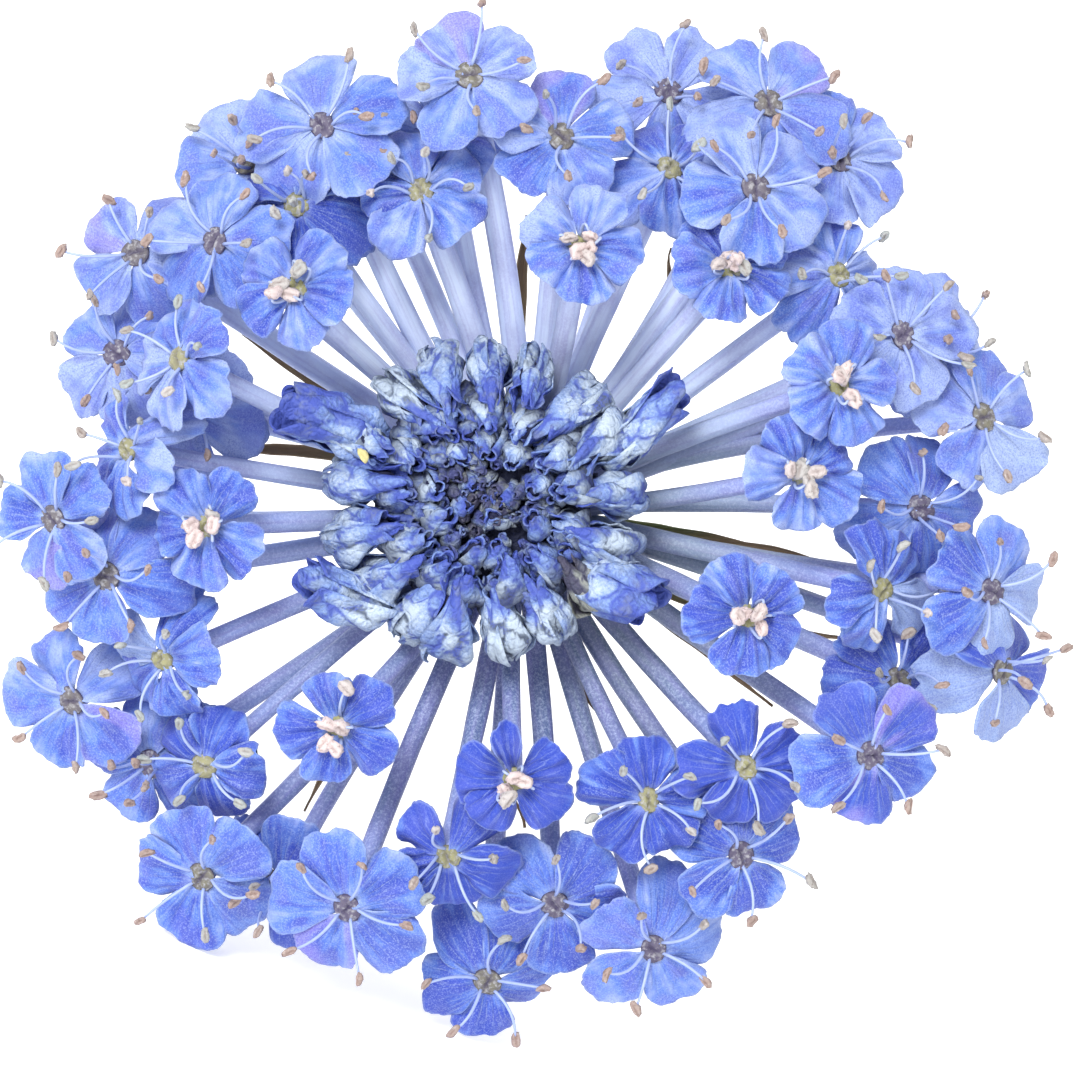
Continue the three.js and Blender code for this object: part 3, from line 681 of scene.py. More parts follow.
def petal_surface(colours):
    """Blue, with soft streaks and faint veins that fan out from the foot, and a thin pale rim"""
    s = Surface("petal_blue", 0.6)
    s.set(Sheen_Weight=0.1, Specular_IOR_Level=0.3)
    along, fan, seed = s.attribute("where")
    shade, tint, rim = s.attribute("hue")
    fresh = s.spread(shade, 0.25, 0.8)
    far = s.times(seed, 37.0)
    streaks = s.mottle(s.joined(s.times(fan, 5.0), s.times(along, 1.6), far), 1.0, 3.0, 0.5)
    patches = s.mottle(s.joined(s.times(fan, 1.5), s.times(along, 2.2), far), 1.0, 2.0, 0.5)
    grain = s.grain(PETAL_GRAIN)

    # Veins, which leave the foot and the rim free
    bent = s.total(s.times(fan, 15.0), s.times(streaks, 6.0))
    ripple = s.calc("ABSOLUTE", s.calc("SINE", bent))
    veins = s.times(s.spread(ripple, 0.0, 0.45, 1.0, 0.0), s.spread(along, 0.1, 0.35))
    veins = s.times(veins, s.spread(along, 0.5, 0.95, 1.0, 0.2))

    # How deep the blue is, from light over middle to deep
    middle = s.times(s.spread(along, 0.1, 0.35), s.spread(rim, 0.45, 1.0, 1.0, 0.0))
    streaked = s.swing(streaks, s.total(s.times(fresh, 1.5), 0.75))
    deeper = s.times(middle, s.total(s.times(fresh, 0.25), 0.15))
    depth = s.total(shade, streaked, s.swing(patches, 2.1), s.swing(grain, 1.2), deeper, -0.05)
    body = s.blend(s.spread(depth, 0.0, 0.5), colours.petal_light, colours.petal_mid)
    body = s.blend(s.spread(depth, 0.5, 1.15), body, colours.petal_deep)
    body = s.blend(s.times(veins, s.total(s.times(fresh, 0.22), 0.04)), body, colours.petal_rim)

    # Violet in patches, the petals that turned purple or pale, the foot and the rim
    violet = s.times(s.spread(patches, 0.45, 0.65), s.spread(shade, 0.3, 0.8, 0.5, 0.15))
    body = s.blend(violet, body, colours.petal_violet)
    body = s.blend(s.spread(tint, 0.2, 1.0, 0.0, 0.75), body, colours.petal_purple)
    body = s.blend(s.spread(tint, -0.2, -1.0, 0.0, 0.65), body, colours.petal_pale)
    body = s.blend(s.spread(along, 0.32, 0.14, 0.0, 0.3), body, colours.petal_rim)
    body = s.blend(s.spread(rim, 0.93, 1.0, 0.0, 0.3), body, colours.petal_rim)

    # Grain, whose light side fades on the deepest petals
    light = s.times(s.spread(grain, 0.48, 0.64, 0.0, 0.36), s.spread(shade, 0.8, 1.3, 1.0, 0.35))
    body = s.blend(light, body, colours.petal_rim)
    body = s.blend(s.spread(grain, 0.52, 0.36, 0.0, 0.42), body, colours.petal_deep)
    height = s.total(streaks, s.times(veins, -0.25), s.times(grain, 0.45))
    return s.finish(body, height, depth=0.1)


def disc_surface(colours):
    """Two warty lobes, yellow-green when young and grey-purple or tan when old"""
    s = Surface("disc", 0.5)
    _, _, groove = s.attribute("where")
    youth, kind, _ = s.attribute("hue")
    warts = s.mottle(s.here(), DISC_WARTS)
    old = s.blend(s.spread(kind, 0.3, 0.8), colours.disc_old, colours.disc_tan)
    body = s.blend(youth, old, colours.disc_young)
    # Painted highlight on the tops of the warts
    body = s.blend(s.spread(warts, 0.47, 0.66, 0.0, 0.7), body, colours.disc_wart_highlight)
    # Painted shade in the groove and furrows and round the disc's lower flank
    body = s.blend(s.times(groove, 0.85), body, colours.disc_painted_shade)
    return s.finish(body, warts, depth=0.12)


def filament_surface(colours):
    """Pale blue threads, bluer at the foot and in an old floret"""
    s = Surface("filament", 0.4)
    along, _, _ = s.attribute("where")
    fresh, _, _ = s.attribute("hue")
    shine = s.mottle(s.here(), FILAMENT_SHINE, 2.0)
    faded = s.blend(0.7, colours.filament, colours.petal_light)
    body = s.blend(fresh, faded, colours.filament)
    body = s.blend(s.spread(along, 0.0, 0.5, 0.5, 0.0), body, colours.petal_light)
    body = s.blend(s.spread(shine, 0.4, 0.7, 0.0, 0.2), body, colours.filament_shine)
    return s.finish(body, shine, depth=0.02)


def anther_surface(colours):
    """Pink in a fresh floret, then greenish, and tan once open"""
    s = Surface("anther", 0.6)
    _, _, groove = s.attribute("where")
    ripe, yellow, _ = s.attribute("hue")
    pollen = s.mottle(s.here(), ANTHER_POLLEN, 4.0, 0.7)
    body = s.blend(s.spread(ripe, 0.0, 0.5), colours.anther_pink, colours.anther_green)
    body = s.blend(s.spread(ripe, 0.5, 1.0), body, colours.anther_tan)
    body = s.blend(s.spread(pollen, 0.5, 0.75, 0.0, 0.7), body, colours.anther_pollen)
    body = s.blend(s.spread(pollen, 0.48, 0.3, 0.0, 0.6), body, colours.anther_dark)
    body = s.blend(s.times(groove, 0.4), body, colours.anther_groove)
    body = s.blend(s.times(yellow, 0.8), body, colours.anther_yellow)
    return s.finish(body, pollen, depth=0.12)


def stalk_surface(colours):
    """Lilac, greyer near the buds and green on the main stalk, with fine lines along it, painted light on
    the upper stalks and painted shade on the lower ones
    """
    s = Surface("stalk", 0.5)
    along, around, seed = s.attribute("where")
    grey, green, painted_lighting = s.attribute("hue")
    lines = s.mottle(s.joined(s.times(around, 14.0), s.times(along, 2.5), s.times(seed, 19.0)), 1.0)
    patches = s.mottle(s.joined(s.times(around, 2.0), s.times(along, 5.0), s.times(seed, 31.0)), 1.0)
    grain = s.grain(STALK_GRAIN)
    body = s.blend(grey, colours.stalk_lilac, colours.stalk_grey)
    # Painted light on the upper stalks and painted shade on the lower ones
    body = s.blend(s.spread(painted_lighting, 0.0, 1.0), body, colours.stalk_grain_and_light)
    body = s.blend(s.spread(painted_lighting, 0.0, -1.0), body, colours.stalk_painted_shade)
    body = s.blend(s.spread(patches, 0.4, 0.75, 0.0, 0.5), body, colours.stalk_violet)
    body = s.blend(s.spread(lines, 0.4, 0.7, 0.0, 0.4), body, colours.stalk_violet)
    body = s.blend(s.spread(grain, 0.42, 0.68, 0.0, 0.34), body, colours.stalk_grain_and_light)
    main = s.blend(s.spread(lines, 0.35, 0.7), colours.stalk_green, colours.stalk_moss)
    main = s.blend(s.spread(patches, 0.45, 0.75, 0.0, 0.4), main, colours.stalk_violet)
    body = s.blend(green, body, main)
    return s.finish(body, s.total(lines, s.times(grain, 0.5)), depth=0.06)


def bract_surface(colours):
    """Olive at the foot, brown and dry towards the tip, with straw streaks"""
    s = Surface("bract", 0.6)
    along, around, seed = s.attribute("where")
    streaks = s.mottle(s.joined(s.times(around, 9.0), s.times(along, 3.0), seed), 1.0, 4.0)
    dry = s.total(along, s.swing(streaks, 0.9))
    body = s.blend(s.spread(dry, 0.25, 0.75), colours.bract_olive, colours.bract_brown)
    body = s.blend(s.spread(streaks, 0.5, 0.75, 0.0, 0.3), body, colours.bract_straw)
    return s.finish(body, streaks, depth=0.08)


def bud_surface(colours):
    """Pale and mealy outside, violet-blue towards the tip, with painted shade in the mouth, creases and
    flanks
    """
    s = Surface("bud", 0.65)
    _, depth_shade, _ = s.attribute("where")
    blue, crease, dried = s.attribute("hue")
    spots = s.mottle(s.here(), BUD_SPOTS, 4.0)
    grain = s.grain(BUD_GRAIN)
    cells = s.cracks(BUD_CRACKS)
    furrow = s.spread(cells, 0.0, 0.16, 1.0, 0.0)
    share = s.total(blue, s.swing(spots, 0.9), s.swing(grain, 1.0), s.times(furrow, 0.12))
    body = s.blend(s.spread(share, -0.2, 0.75), colours.bud_pale, colours.bud_middle)
    body = s.blend(s.spread(share, 0.5, 1.35), body, colours.bud_blue)
    body = s.blend(s.spread(spots, 0.48, 0.66, 0.0, 0.45), body, colours.bud_grey)
    withered = s.blend(s.spread(blue, 0.2, 0.9), colours.bud_dried, colours.bud_husk)
    body = s.blend(dried, body, withered)
    # Painted shade for the creases and the flanks: greenish where the bud is pale, blue where it is blue
    dark = s.blend(s.spread(share, 0.0, 0.4), colours.bud_shadow, colours.bud_blue)
    # In a withered bud the husk's colour paints this shade
    dark = s.blend(dried, dark, colours.bud_husk)
    body = s.blend(s.spread(crease, 0.35, 1.0, 0.0, 0.9), body, dark)
    # Painted highlight on the thin lips
    body = s.blend(s.spread(crease, -0.4, -1.0, 0.0, 0.35), body, colours.bud_lip_highlight)
    # Painted shade in the mouths, at the feet of the buds and in the gaps among them
    body = s.blend(depth_shade, body, colours.bud_painted_shade)
    height = s.total(spots, s.times(grain, 0.5), s.spread(cells, 0.0, 0.3, 0.0, 0.5))
    return s.finish(body, height, depth=0.13)


# Petals, discs and stamens


def solid_points(index, to_floret):
    """The corners of a floret's solid, in the floret's own frame"""
    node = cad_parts[f"floret_{index + 1:02d}"]
    back = to_floret.inverted() @ PLACE.inverted()
    return [back @ v.co for v in node.data.vertices]


def measured_tip(points, angle, reach, tip):
    """How high the solid's petal ends over the floret's plane, or the given height if it is cut"""
    turn = turned(-angle, "Z")
    near = [turn @ p for p in points]
    ends = [p.z for p in near if p.x > 0.85 * reach and abs(p.y) < 0.4 * reach]
    if ends:
        return (max(ends) + min(ends)) / 2
    middles = [p.z for p in near
               if 0.5 * reach < p.x < 0.75 * reach and abs(p.y) < 0.45 * reach and p.z < 0.8]
    if middles:
        return min(HIGHEST_TIP, max(LOWEST_TIP, (max(middles) + min(middles)) / 2 / MIDDLE_RISE))
    return tip


def petal(bm, look, sizes):
    """One petal in the floret's frame: a rounded fan, pleated along its veins and ruffled at its rim"""
    rng = random.Random(look["seed"])
    _, pleat_phase, *wave_phases = (rng.uniform(0, math.tau) for _ in range(5))
    lopsided = rng.uniform(-0.16, 0.16)
    reach = look["reach"] * rng.uniform(0.88, 1.04)
    half = look["half"] * rng.uniform(0.88, 1.12)
    notch = rng.uniform(-0.04, 0.06)
    lift = rng.uniform(-0.42, 0.3)
    cup = rng.uniform(-0.55, 0.55) * look["cup"]
    purple_side = rng.choice((-1, 1))
    turn = turned(look["angle"] + rng.uniform(-8, 8), "Z")
    offset = Vector((rng.uniform(0, 50), rng.uniform(0, 50), rng.uniform(0, 50)))
    crinkle = sizes.crinkle / MM
    number = look["seed"] % 97 / 97

    def outline(x, y, rim, around):
        """The place on the flat petal, along it and across it"""
        crenate = sum(depth * noise.noise(Vector((around * pace, at, 0)))
                      for (depth, pace), at in zip(CRENATIONS, offset))
        scallop = 1 + rim**5 * crenate * look["scallop"]
        u = (x + 1) / 2
        dent = 1 - notch * bump(y, 0.2) * rim**6
        a = PETAL_ROOT + (reach - PETAL_ROOT) * u * scallop * dent
        b = y * half * (FOOT_BREADTH + RIM_BREADTH * u**0.8) * scallop + lopsided * u * u * half
        return a, b

    def height(x, y, rim, around, out, fan, crease):
        """The height over the flat petal"""
        u = (x + 1) / 2
        body = math.sin(math.pi * min(1, out))
        z = (look["tip"] + lift) * out**2 + look["swell"] * body * (1 - 0.5 * y * y)
        z -= look["fold"] * bump(fan, 0.16) * body + look["droop"] * smooth(0.6, 1.1, out) ** 2
        z += look["ridge"] * crease + (look["curl"] * abs(y) ** 3 + cup * y * y) * smooth(0.1, 0.6, u)
        z += look["lap"] * y * smooth(0.05, 0.5, u)
        waves = sum(share * math.sin(count * around + phase)
                    for (share, count), phase in zip(WAVES, wave_phases))
        return z + look["wave"] * rim**3 * waves

    def form(s, t):
        x = s * math.sqrt(1 - t * t / 2)
        y = t * math.sqrt(1 - s * s / 2)
        rim = min(1.0, math.hypot(x, y))
        around = math.atan2(y, x)
        a, b = outline(x, y, rim, around)
        out = a / reach
        fan = math.atan2(b, a + 0.5) / VEIN_FAN
        warp = 1.6 * noise.noise(offset + Vector((fan, out, 0)) * 1.6)
        crest = 1.5 * (1 - abs(math.sin(0.5 * fan * look["pleats"] + pleat_phase + warp))) - 0.55
        swell = noise.noise(offset + Vector((fan * 2.4, out * 1.5, 7)))
        crease = (look["sharp"] * crest + 1.3 * swell) * smooth(0.1, 0.4, out)
        z = height(x, y, rim, around, out, fan, crease)
        z += crinkle * noise.noise(offset + Vector((a, b, 0)) * 0.7)
        z += crinkle * 0.4 * noise.noise(offset + Vector((a, b, 3)) * 1.8)
        tint = look["tint"]
        if tint > 0.5:
            tint *= smooth(-0.1, 0.9, 0.7 * rim + 0.5 * purple_side * y + 0.8 * swell)
        # Painted light on the crests of the pleats and painted shade in their valleys
        shade = look["shade"] - look["contrast"] * crease
        place = look["frame"] @ (turn @ Vector((a, b, z)))
        return place, Vector((out, fan, number)), Vector((shade, tint, rim))

    shell(bm, look["faces"], look["faces"], form, sizes.petal_thickness / MM)


def disc(bm, to_floret, youth, sizes, rng):
    """The floret's middle: two swollen cushions side by side, each ringed by a furrow"""
    cleft = rng.uniform(0, math.pi)
    radius = sizes.disc_radius / MM * mix(1.0, 0.86, youth)
    rise = mix(0.34, 0.5, youth)
    stretch = rng.uniform(0.78, 0.95)
    offset = Vector((rng.uniform(0, 50), 0, 0))

    def form(d):
        side = d.x * math.cos(cleft) + d.y * math.sin(cleft)
        front = -d.x * math.sin(cleft) + d.y * math.cos(cleft)
        top = max(0, d.z)
        groove = bump(side, 0.13) * top
        lobe = math.hypot((abs(side) - 0.42) / 0.62, front / 0.95)
        ring = bump(lobe - 0.55, 0.14) * top
        warts = 0.08 * noise.noise(offset + d * 3.2) + 0.04 * noise.noise(offset + d * 8)
        r = radius * (1 + warts)
        z = rise * (d.z * 0.8 + 0.2) * (1 - 0.5 * groove - 0.16 * ring) + warts
        # dark is painted shade: in the groove, in the furrow round each lobe and on the lower flank
        dark = max(groove, 0.7 * ring, smooth(0.45, 0.1, d.z)) * mix(1, 0.35, youth)
        place = to_floret @ Vector((d.x * r * stretch, d.y * r, z))
        return place, Vector((0, 0, dark)), Vector((youth, offset.x / 50, 0))

    paint(blob(bm, 24, 14, form), 1)


def stamen(bm, to_floret, angle, length, rise, age, sizes, rng):
    """A curved thread that ends in a two-lobed anther, curled over the disc in a fresh floret"""
    flat = heading(angle, 0)
    aim = heading(angle, rise)
    sideways = heading(angle + 90, 0)
    start = flat * 0.5 + Vector((0, 0, 0.1))
    end = start + aim * (length - 0.45)
    bow = sideways * rng.uniform(-0.9, 0.9) + Vector((0, 0, rng.uniform(0.0, 0.9)))
    if age["curled"] and rng.random() < age["curled"]:
        end = aim * rng.uniform(0.2, 0.95) + sideways * rng.uniform(-0.5, 0.5)
        end.z += rng.uniform(0.5, 1.2)
        bow = aim * 1.4 + Vector((0, 0, 0.5))
    side = to_floret.to_3x3() @ (sideways + Vector((0, 0, 0.01)))

    def path(u):
        return to_floret @ (start + (end - start) * u + bow * 2 * u * (1 - u))

    def radius(u, _):
        return sizes.filament_radius / MM * mix(1.2, 0.8, u)

    def mark(u, _):
        return Vector((u, 0, 0)), Vector((age["fresh"], 0, 0))

    paint(tube(bm, path, radius, 8, 6, mark, side), 2)
    anther(bm, to_floret, end + aim * 0.1, aim, age, sizes, rng, 3)


def anther(bm, frame_of, middle, aim, age, sizes, rng, slot, yellow=0):
    """Two plump lobes pressed together, with a groove all along"""
    scatter = Vector((rng.uniform(-1, 1), rng.uniform(-1, 1), rng.uniform(-0.6, 0.4)))
    tip = (aim + scatter * 0.9).normalized()
    axes = tip.to_track_quat("X", "Z").to_matrix().to_4x4() @ turned(rng.uniform(-50, 50), "X")
    half = sizes.anther_length / MM / 2 * rng.uniform(0.85, 1.1) * age["anther"]
    ripe = age["ripe"] + rng.uniform(-0.35, 0.3)
    plump = age["plump"] * rng.uniform(0.88, 1.1)

    def form(d):
        groove = bump(d.y, 0.2) * abs(d.z)
        lumps = 1 + 0.35 * noise.noise(middle + d * 2.2)
        place = Vector((d.x * (1 - 0.1 * groove), d.y * plump * 1.15, d.z * plump * (1 - 0.5 * groove)))
        place *= half * lumps
        place.z += 0.25 * half * d.x * d.x
        return frame_of @ (middle + axes @ place), Vector((0, 0, groove)), Vector((ripe, yellow, 0))

    paint(blob(bm, 14, 9, form), slot)


def chosen_rise(points, angle, length, rises):
    """Of the rises that the solid could have, the one whose stamen ends at one of its corners"""
    root = heading(angle, 0) * 0.3 + Vector((0, 0, 0.2))

    def miss(rise):
        tip = root + heading(angle, rise) * length
        return min((p - tip).length for p in points)

    best = min(rises, key=miss)
    return best if miss(best) < 0.3 else rises[-1]


def bloom(index, spec, sizes, materials):
    """A whole floret, shaped over its solid"""
    age = AGES[spec["age"]]
    _, _, to_floret = seat(spec)
    points = solid_points(index, to_floret)
    draw = draws(7 + index)
    rng = random.Random(100 + index)
    reach = spec["reach"] or age["reach"]
    shade = age["shade"] if spec["shade"] is None else spec["shade"]
    # Painted shade on the lower florets and painted light on the upper ones, as if lit from above
    shade += LOW_PAINTED_SHADE * smooth(5, -25, spec["y"]) - HIGH_PAINTED_LIGHT * smooth(5, 20, spec["y"])
    shade += RIGHT_DEEPER * smooth(5, 20, spec["x"]) * smooth(14, 4, spec["y"])
    lap = rng.choice((-1, 1)) * age["lap"]
    bm = new_bmesh()
    for k in range(PETALS):
        own = reach * (0.95 + 0.08 * next(draw))
        # The solid draws the way of its wave here, and these petals have waves of their own
        next(draw)
        angle = 360 / PETALS * k
        # Petals low on the umbel turn greyer, by the age's share
        plain = rng.uniform(*PLAIN_TINTS) - age["dusty"] * smooth(0, -15, spec["y"])
        look = dict(
            age, frame=to_floret, angle=angle, reach=own, half=age["breadth"] * own / 2, lap=lap,
            tip=measured_tip(points, angle, own, age["tip"]), seed=index * PETALS + k,
            shade=shade + rng.uniform(-UNEVEN_SHADE, UNEVEN_SHADE),
            tint=1 if k in spec["purple"] else -1 if k in spec["pale"] else plain,
        )
        if k in spec["furled"]:
            look["half"] *= FURLED_BREADTH
            look["tip"] += FURLED_RISE
            look["curl"] *= FURLED_CURL
        add_part(bm, petal, look, sizes)
        stamen_angle = 360 / PETALS * (k + 0.5) + 20 * (next(draw) - 0.5)
        length = age["stamen"] * (0.85 + 0.25 * next(draw))
        rises = [rise + 12 * (next(draw) - 0.5) for rise in STAMEN_RISES]
        rise = chosen_rise(points, stamen_angle, length, rises)
        add_part(bm, stamen, to_floret, stamen_angle, length, rise, age, sizes, rng)
    add_part(bm, disc, to_floret, age["disc"], sizes, rng)
    name = f"floret_{index + 1:02d}"
    finish_piece(bm, f"bloom_{index + 1:02d}", [name], materials)


# Stalks and bracts


def pedicel_path(spec):
    """From inside the receptacle to just behind the disc, on one curve that leaves on a shared way"""
    radius, outward, to_floret = seat(spec)
    share = min(1, max(0, (radius - STEEP_RADIUS) / (RIM - STEEP_RADIUS)))
    around = math.degrees(math.atan2(outward.y, outward.x))
    turn = min(((way - around + 180) % 360 - 180 for way in WAYS), key=abs)
    leave = heading(around + (1 + WAY_LEAD) * turn, mix(STEEPEST, FLATTEST, share))
    normal = to_floret.to_3x3() @ Vector((0, 0, 1))
    end = to_floret.translation - normal * 0.12
    low = end - normal * (SHEET / 2 + GAP)
    a, b, c = leave * 0.9, leave * 0.45 * low.length, low - normal * PEDICEL_BEND

    def path(u):
        v = 1 - u
        return a * v**3 + b * 3 * v * v * u + c * 3 * v * u * u + end * u**3

    return path, around


def pedicel(bm, spec, index, sizes):
    """One floret's stalk, a little ribbed, with a knob under the disc"""
    path, around = pedicel_path(spec)
    rng = random.Random(300 + index)
    upper = math.sin(math.radians(around))
    thick = sizes.pedicel_radius / MM * rng.uniform(0.9, 1.12) * mix(1.0, 1.16, smooth(0, 1, upper))
    # Painted light on the stalks that face the top, painted shade on those that face down
    painted_lighting = mix(-1, 1, smooth(-1.2, 1, math.sin(math.radians(around - 8))))
    greenish = smooth(0.3, 1, math.cos(math.radians(around + 20)))
    offset = Vector((index * 7.3, 0, 0))

    def radius(u, angle):
        body = mix(1.0, 0.94, smooth(0.3, 0.9, u))
        knob = 0.3 * bump(u - 0.98, 0.02)
        ribs = 0.035 * math.cos(5 * angle + index)
        lumps = 0.06 * noise.noise(offset + Vector((u * 9, math.cos(angle), math.sin(angle))))
        return thick * (body + knob + ribs + lumps)

    def mark(u, angle):
        near = 1 - smooth(0.3, 0.75, u)
        # shine carries this painted light and shade, fading towards the florets
        shine = 0.9 * painted_lighting * (1 - smooth(0.5, 1, u))
        return Vector((u, angle / math.tau, index / 60)), Vector((near * 0.8, 0.3 * greenish * near, shine))

    paint(tube(bm, path, radius, 24, 12, mark), 0)


def stalk_profile(sizes):
    """Radius and height down the receptacle and the main stalk, from its top to its cut end"""
    r = sizes.stalk_radius / MM
    end = -STALK_LENGTH
    return [
        (0.001, RECEPTACLE_HEIGHT), (1.0, 1.35), (RECEPTACLE_RADIUS * 0.75, 1.05),
        (RECEPTACLE_RADIUS, 0.1), (RECEPTACLE_RADIUS * 0.8, -1.05), (1.3, -2.2), (1.05, -3.4),
        (1.08, -8), (1.14, -25), (r, -50), (r, end + 0.12), (r - 0.1, end + 0.01),
        (r - 0.25, end + 0.02), (0.35, end + 0.12), (0.001, end + 0.35),
    ]


def dense(profile, step):
    """The profile with more points where it runs long"""
    full = [profile[0]]
    for (r0, z0), (r1, z1) in zip(profile, profile[1:]):
        parts = max(1, round(math.hypot(r1 - r0, z1 - z0) / step))
        full += [(mix(r0, r1, k / parts), mix(z0, z1, k / parts)) for k in range(1, parts + 1)]
    return full


def spun(bm, profile, steps):
    """A profile of radius and height turned once round the axis, with its poles closed"""
    verts = [bm.verts.new((r, 0, z)) for r, z in profile]
    edges = [bm.edges.new(pair) for pair in zip(verts, verts[1:])]
    bmesh.ops.spin(bm, geom=verts + edges, axis=(0, 0, 1), cent=(0, 0, 0), angle=math.tau, steps=steps,
                   use_merge=True)
    bmesh.ops.remove_doubles(bm, verts=bm.verts, dist=0.004)
    bmesh.ops.recalc_face_normals(bm, faces=bm.faces)
    return list(bm.verts)


def main_stalk(bm, sizes):
    """The receptacle and the main stalk, finely ribbed and a little uneven"""
    def form(p):
        down = -p.z / STALK_LENGTH
        around = math.atan2(p.y, p.x)
        if p.z < RIBS_TOP:
            grow = 0.98 + 0.02 * math.cos(10 * around) + 0.02 * noise.noise(Vector((around, p.z * 0.3, 3)))
            p = Vector((p.x * grow, p.y * grow, p.z))
        green = 0.8 * smooth(0.0, 0.15, down)
        return p, Vector((down * 9, around / math.tau + 0.5, 0.77)), Vector((0.6, green, 0))

    paint(place_points(bm, spun(bm, dense(stalk_profile(sizes), 2.0), 32), form), 0)


def stalks(colours, sizes):
    """The main stalk, its receptacle and every floret's stalk, in one piece"""
    bm = new_bmesh()
    main_stalk(bm, sizes)
    for index, spec in enumerate(FLORETS):
        add_part(bm, pedicel, spec, index, sizes)
    finish_piece(bm, "stalks", ["stem"], [stalk_surface(colours)])


def bract(bm, around, length, behind, draw, seed, sizes):
    """A narrow channelled blade that dries and twists towards its tip"""
    rise = 2 + 4 * next(draw)
    curl = 18 * (next(draw) - 0.5)
    rng = random.Random(seed)
    twist = rng.uniform(-2.6, 2.6)
    offset = Vector((seed * 5.1, 0, 0))

    def middle(u):
        side = behind * (1 - smooth(0.78, 1.0, u)) if behind else curl * (u * u - 0.5)
        place = heading(around + side, 0) * (length * (0.08 + 0.92 * u))
        place.z = COLLAR_TOP - COLLAR_HEIGHT / 2 + length * u * math.tan(math.radians(rise))
        return place + Vector((0, 0, 0.5)) * noise.noise(offset + Vector((u * 3, 0, 0))) * u

    def form(s, t):
        u = (s + 1) / 2
        ahead = (middle(min(1, u + 0.02)) - middle(max(0, u - 0.02))).normalized()
        across = Vector((0, 0, 1)).cross(ahead).normalized()
        turn = Matrix.Rotation(twist * smooth(0.3, 1, u), 3, ahead)
        taper = mix(0.8, 1.1, smooth(0.2, 0.7, u)) * (1 - smooth(0.78, 1.0, u) * 0.9)
        half = sizes.bract_width / MM / 2 * taper * (1 + 0.3 * noise.noise(offset + Vector((u * 9, 0, 2))))
        sink = 0.45 * half * (1 - t * t)
        place = middle(u) + turn @ (across * (t * half)) - turn @ ahead.cross(across) * sink
        return place, Vector((u, t * 0.5, seed * 1.7)), Vector((0, 0, 0))

    shell(bm, 40, 6, form, BRACT_THICKNESS)


def collar(bm):
    """The shallow ribbed cup under the receptacle that the bracts grow from"""
    middle = Vector((RECEPTACLE_RADIUS * 0.9, 0, COLLAR_TOP - COLLAR_HEIGHT / 2))
    along = heading(0, 38) * 0.95
    across = heading(180, 52) * 0.24

    def form(s, t):
        angle = math.pi * (t + 1)
        ribs = 1 + 0.25 * math.cos(len(BRACTS) * math.pi * s)
        section = middle + along * math.cos(angle) + across * (math.sin(angle) * ribs)
        return turned(180 * (s + 1), "Z") @ section, Vector((0.1, t, s * 4)), Vector((0, 0, 0))

    made = sheet(bm, 96, 12, form)
    bmesh.ops.remove_doubles(bm, verts=made, dist=1e-4)
    made = [v for v in made if v.is_valid]
    bmesh.ops.recalc_face_normals(bm, faces=faces_of(made))
    paint(made, 0)


def involucre(colours, sizes):
    """The collar under the receptacle with its bracts"""
    bm = new_bmesh()
    collar(bm)
    draw = draws(31)
    for k, (around, length, behind) in enumerate(BRACTS):
        add_part(bm, bract, around, length, behind, draw, 500 + k, sizes)
    finish_piece(bm, "involucre", ["bracts"], [bract_surface(colours)])


# The head of buds


def bud_girth(u, mouth):
    """How wide a bud is at a share of its length: swollen near its foot, narrow at its mouth"""
    return mix(0.5, 1.0, smooth(-0.05, 0.2, u)) * mix(1, mouth, smooth(0.3, 0.9, u))


def bud(bm, foot, direction, length, width, rng, kind, dried=0.0):
    """A closed flower seen from outside: crumpled petals round a mouth that holds a dark core as painted
    shade, the upper one hooded
    """
    axes = direction.to_track_quat("Z", "Y").to_matrix()
    up = axes.inverted() @ Vector((0, 0, 1))
    top = math.atan2(up.y, up.x)
    bend = Vector((rng.uniform(-0.14, 0.14), rng.uniform(-0.14, 0.14), 0)) * length
    blueness = kind["bluer"] + rng.uniform(-0.25, 0.25)
    leaves = kind["leaves"]
    for k in range(leaves):
        facing = top + math.tau * k / leaves + rng.uniform(-0.3, 0.3)
        over = 1.06 if k == 0 else rng.uniform(0.82, 1.0)
        look = dict(
            kind, top=top, facing=facing, length=length * over, width=width * rng.uniform(0.88, 1.08),
            span=2.6 / leaves + 0.5, hood=0.16 if k == 0 else rng.uniform(-0.08, 0.08),
            blue=blueness, dried=dried,
        )
        add_part(bm, bud_leaf, foot, axes, bend, look, rng)
    add_part(bm, bud_core, foot, axes, bend, length, width)


def bud_core(bm, foot, axes, bend, length, width):
    """A dark blob in a bud's mouth: painted shade for its inside"""
    def form(d):
        r = 0.36 * width * (1 - 0.35 * max(0, d.z))
        place = Vector((d.x * r, d.y * r, (0.42 + 0.4 * d.z) * length))
        place += bend * ((d.z + 1) / 2) ** 2
        # Painted shade: the whole core takes the darkest colour
        return foot + axes @ place, Vector((0, 1, 0)), Vector((0, 0, 0))

    paint(blob(bm, 10, 7, form), 0)


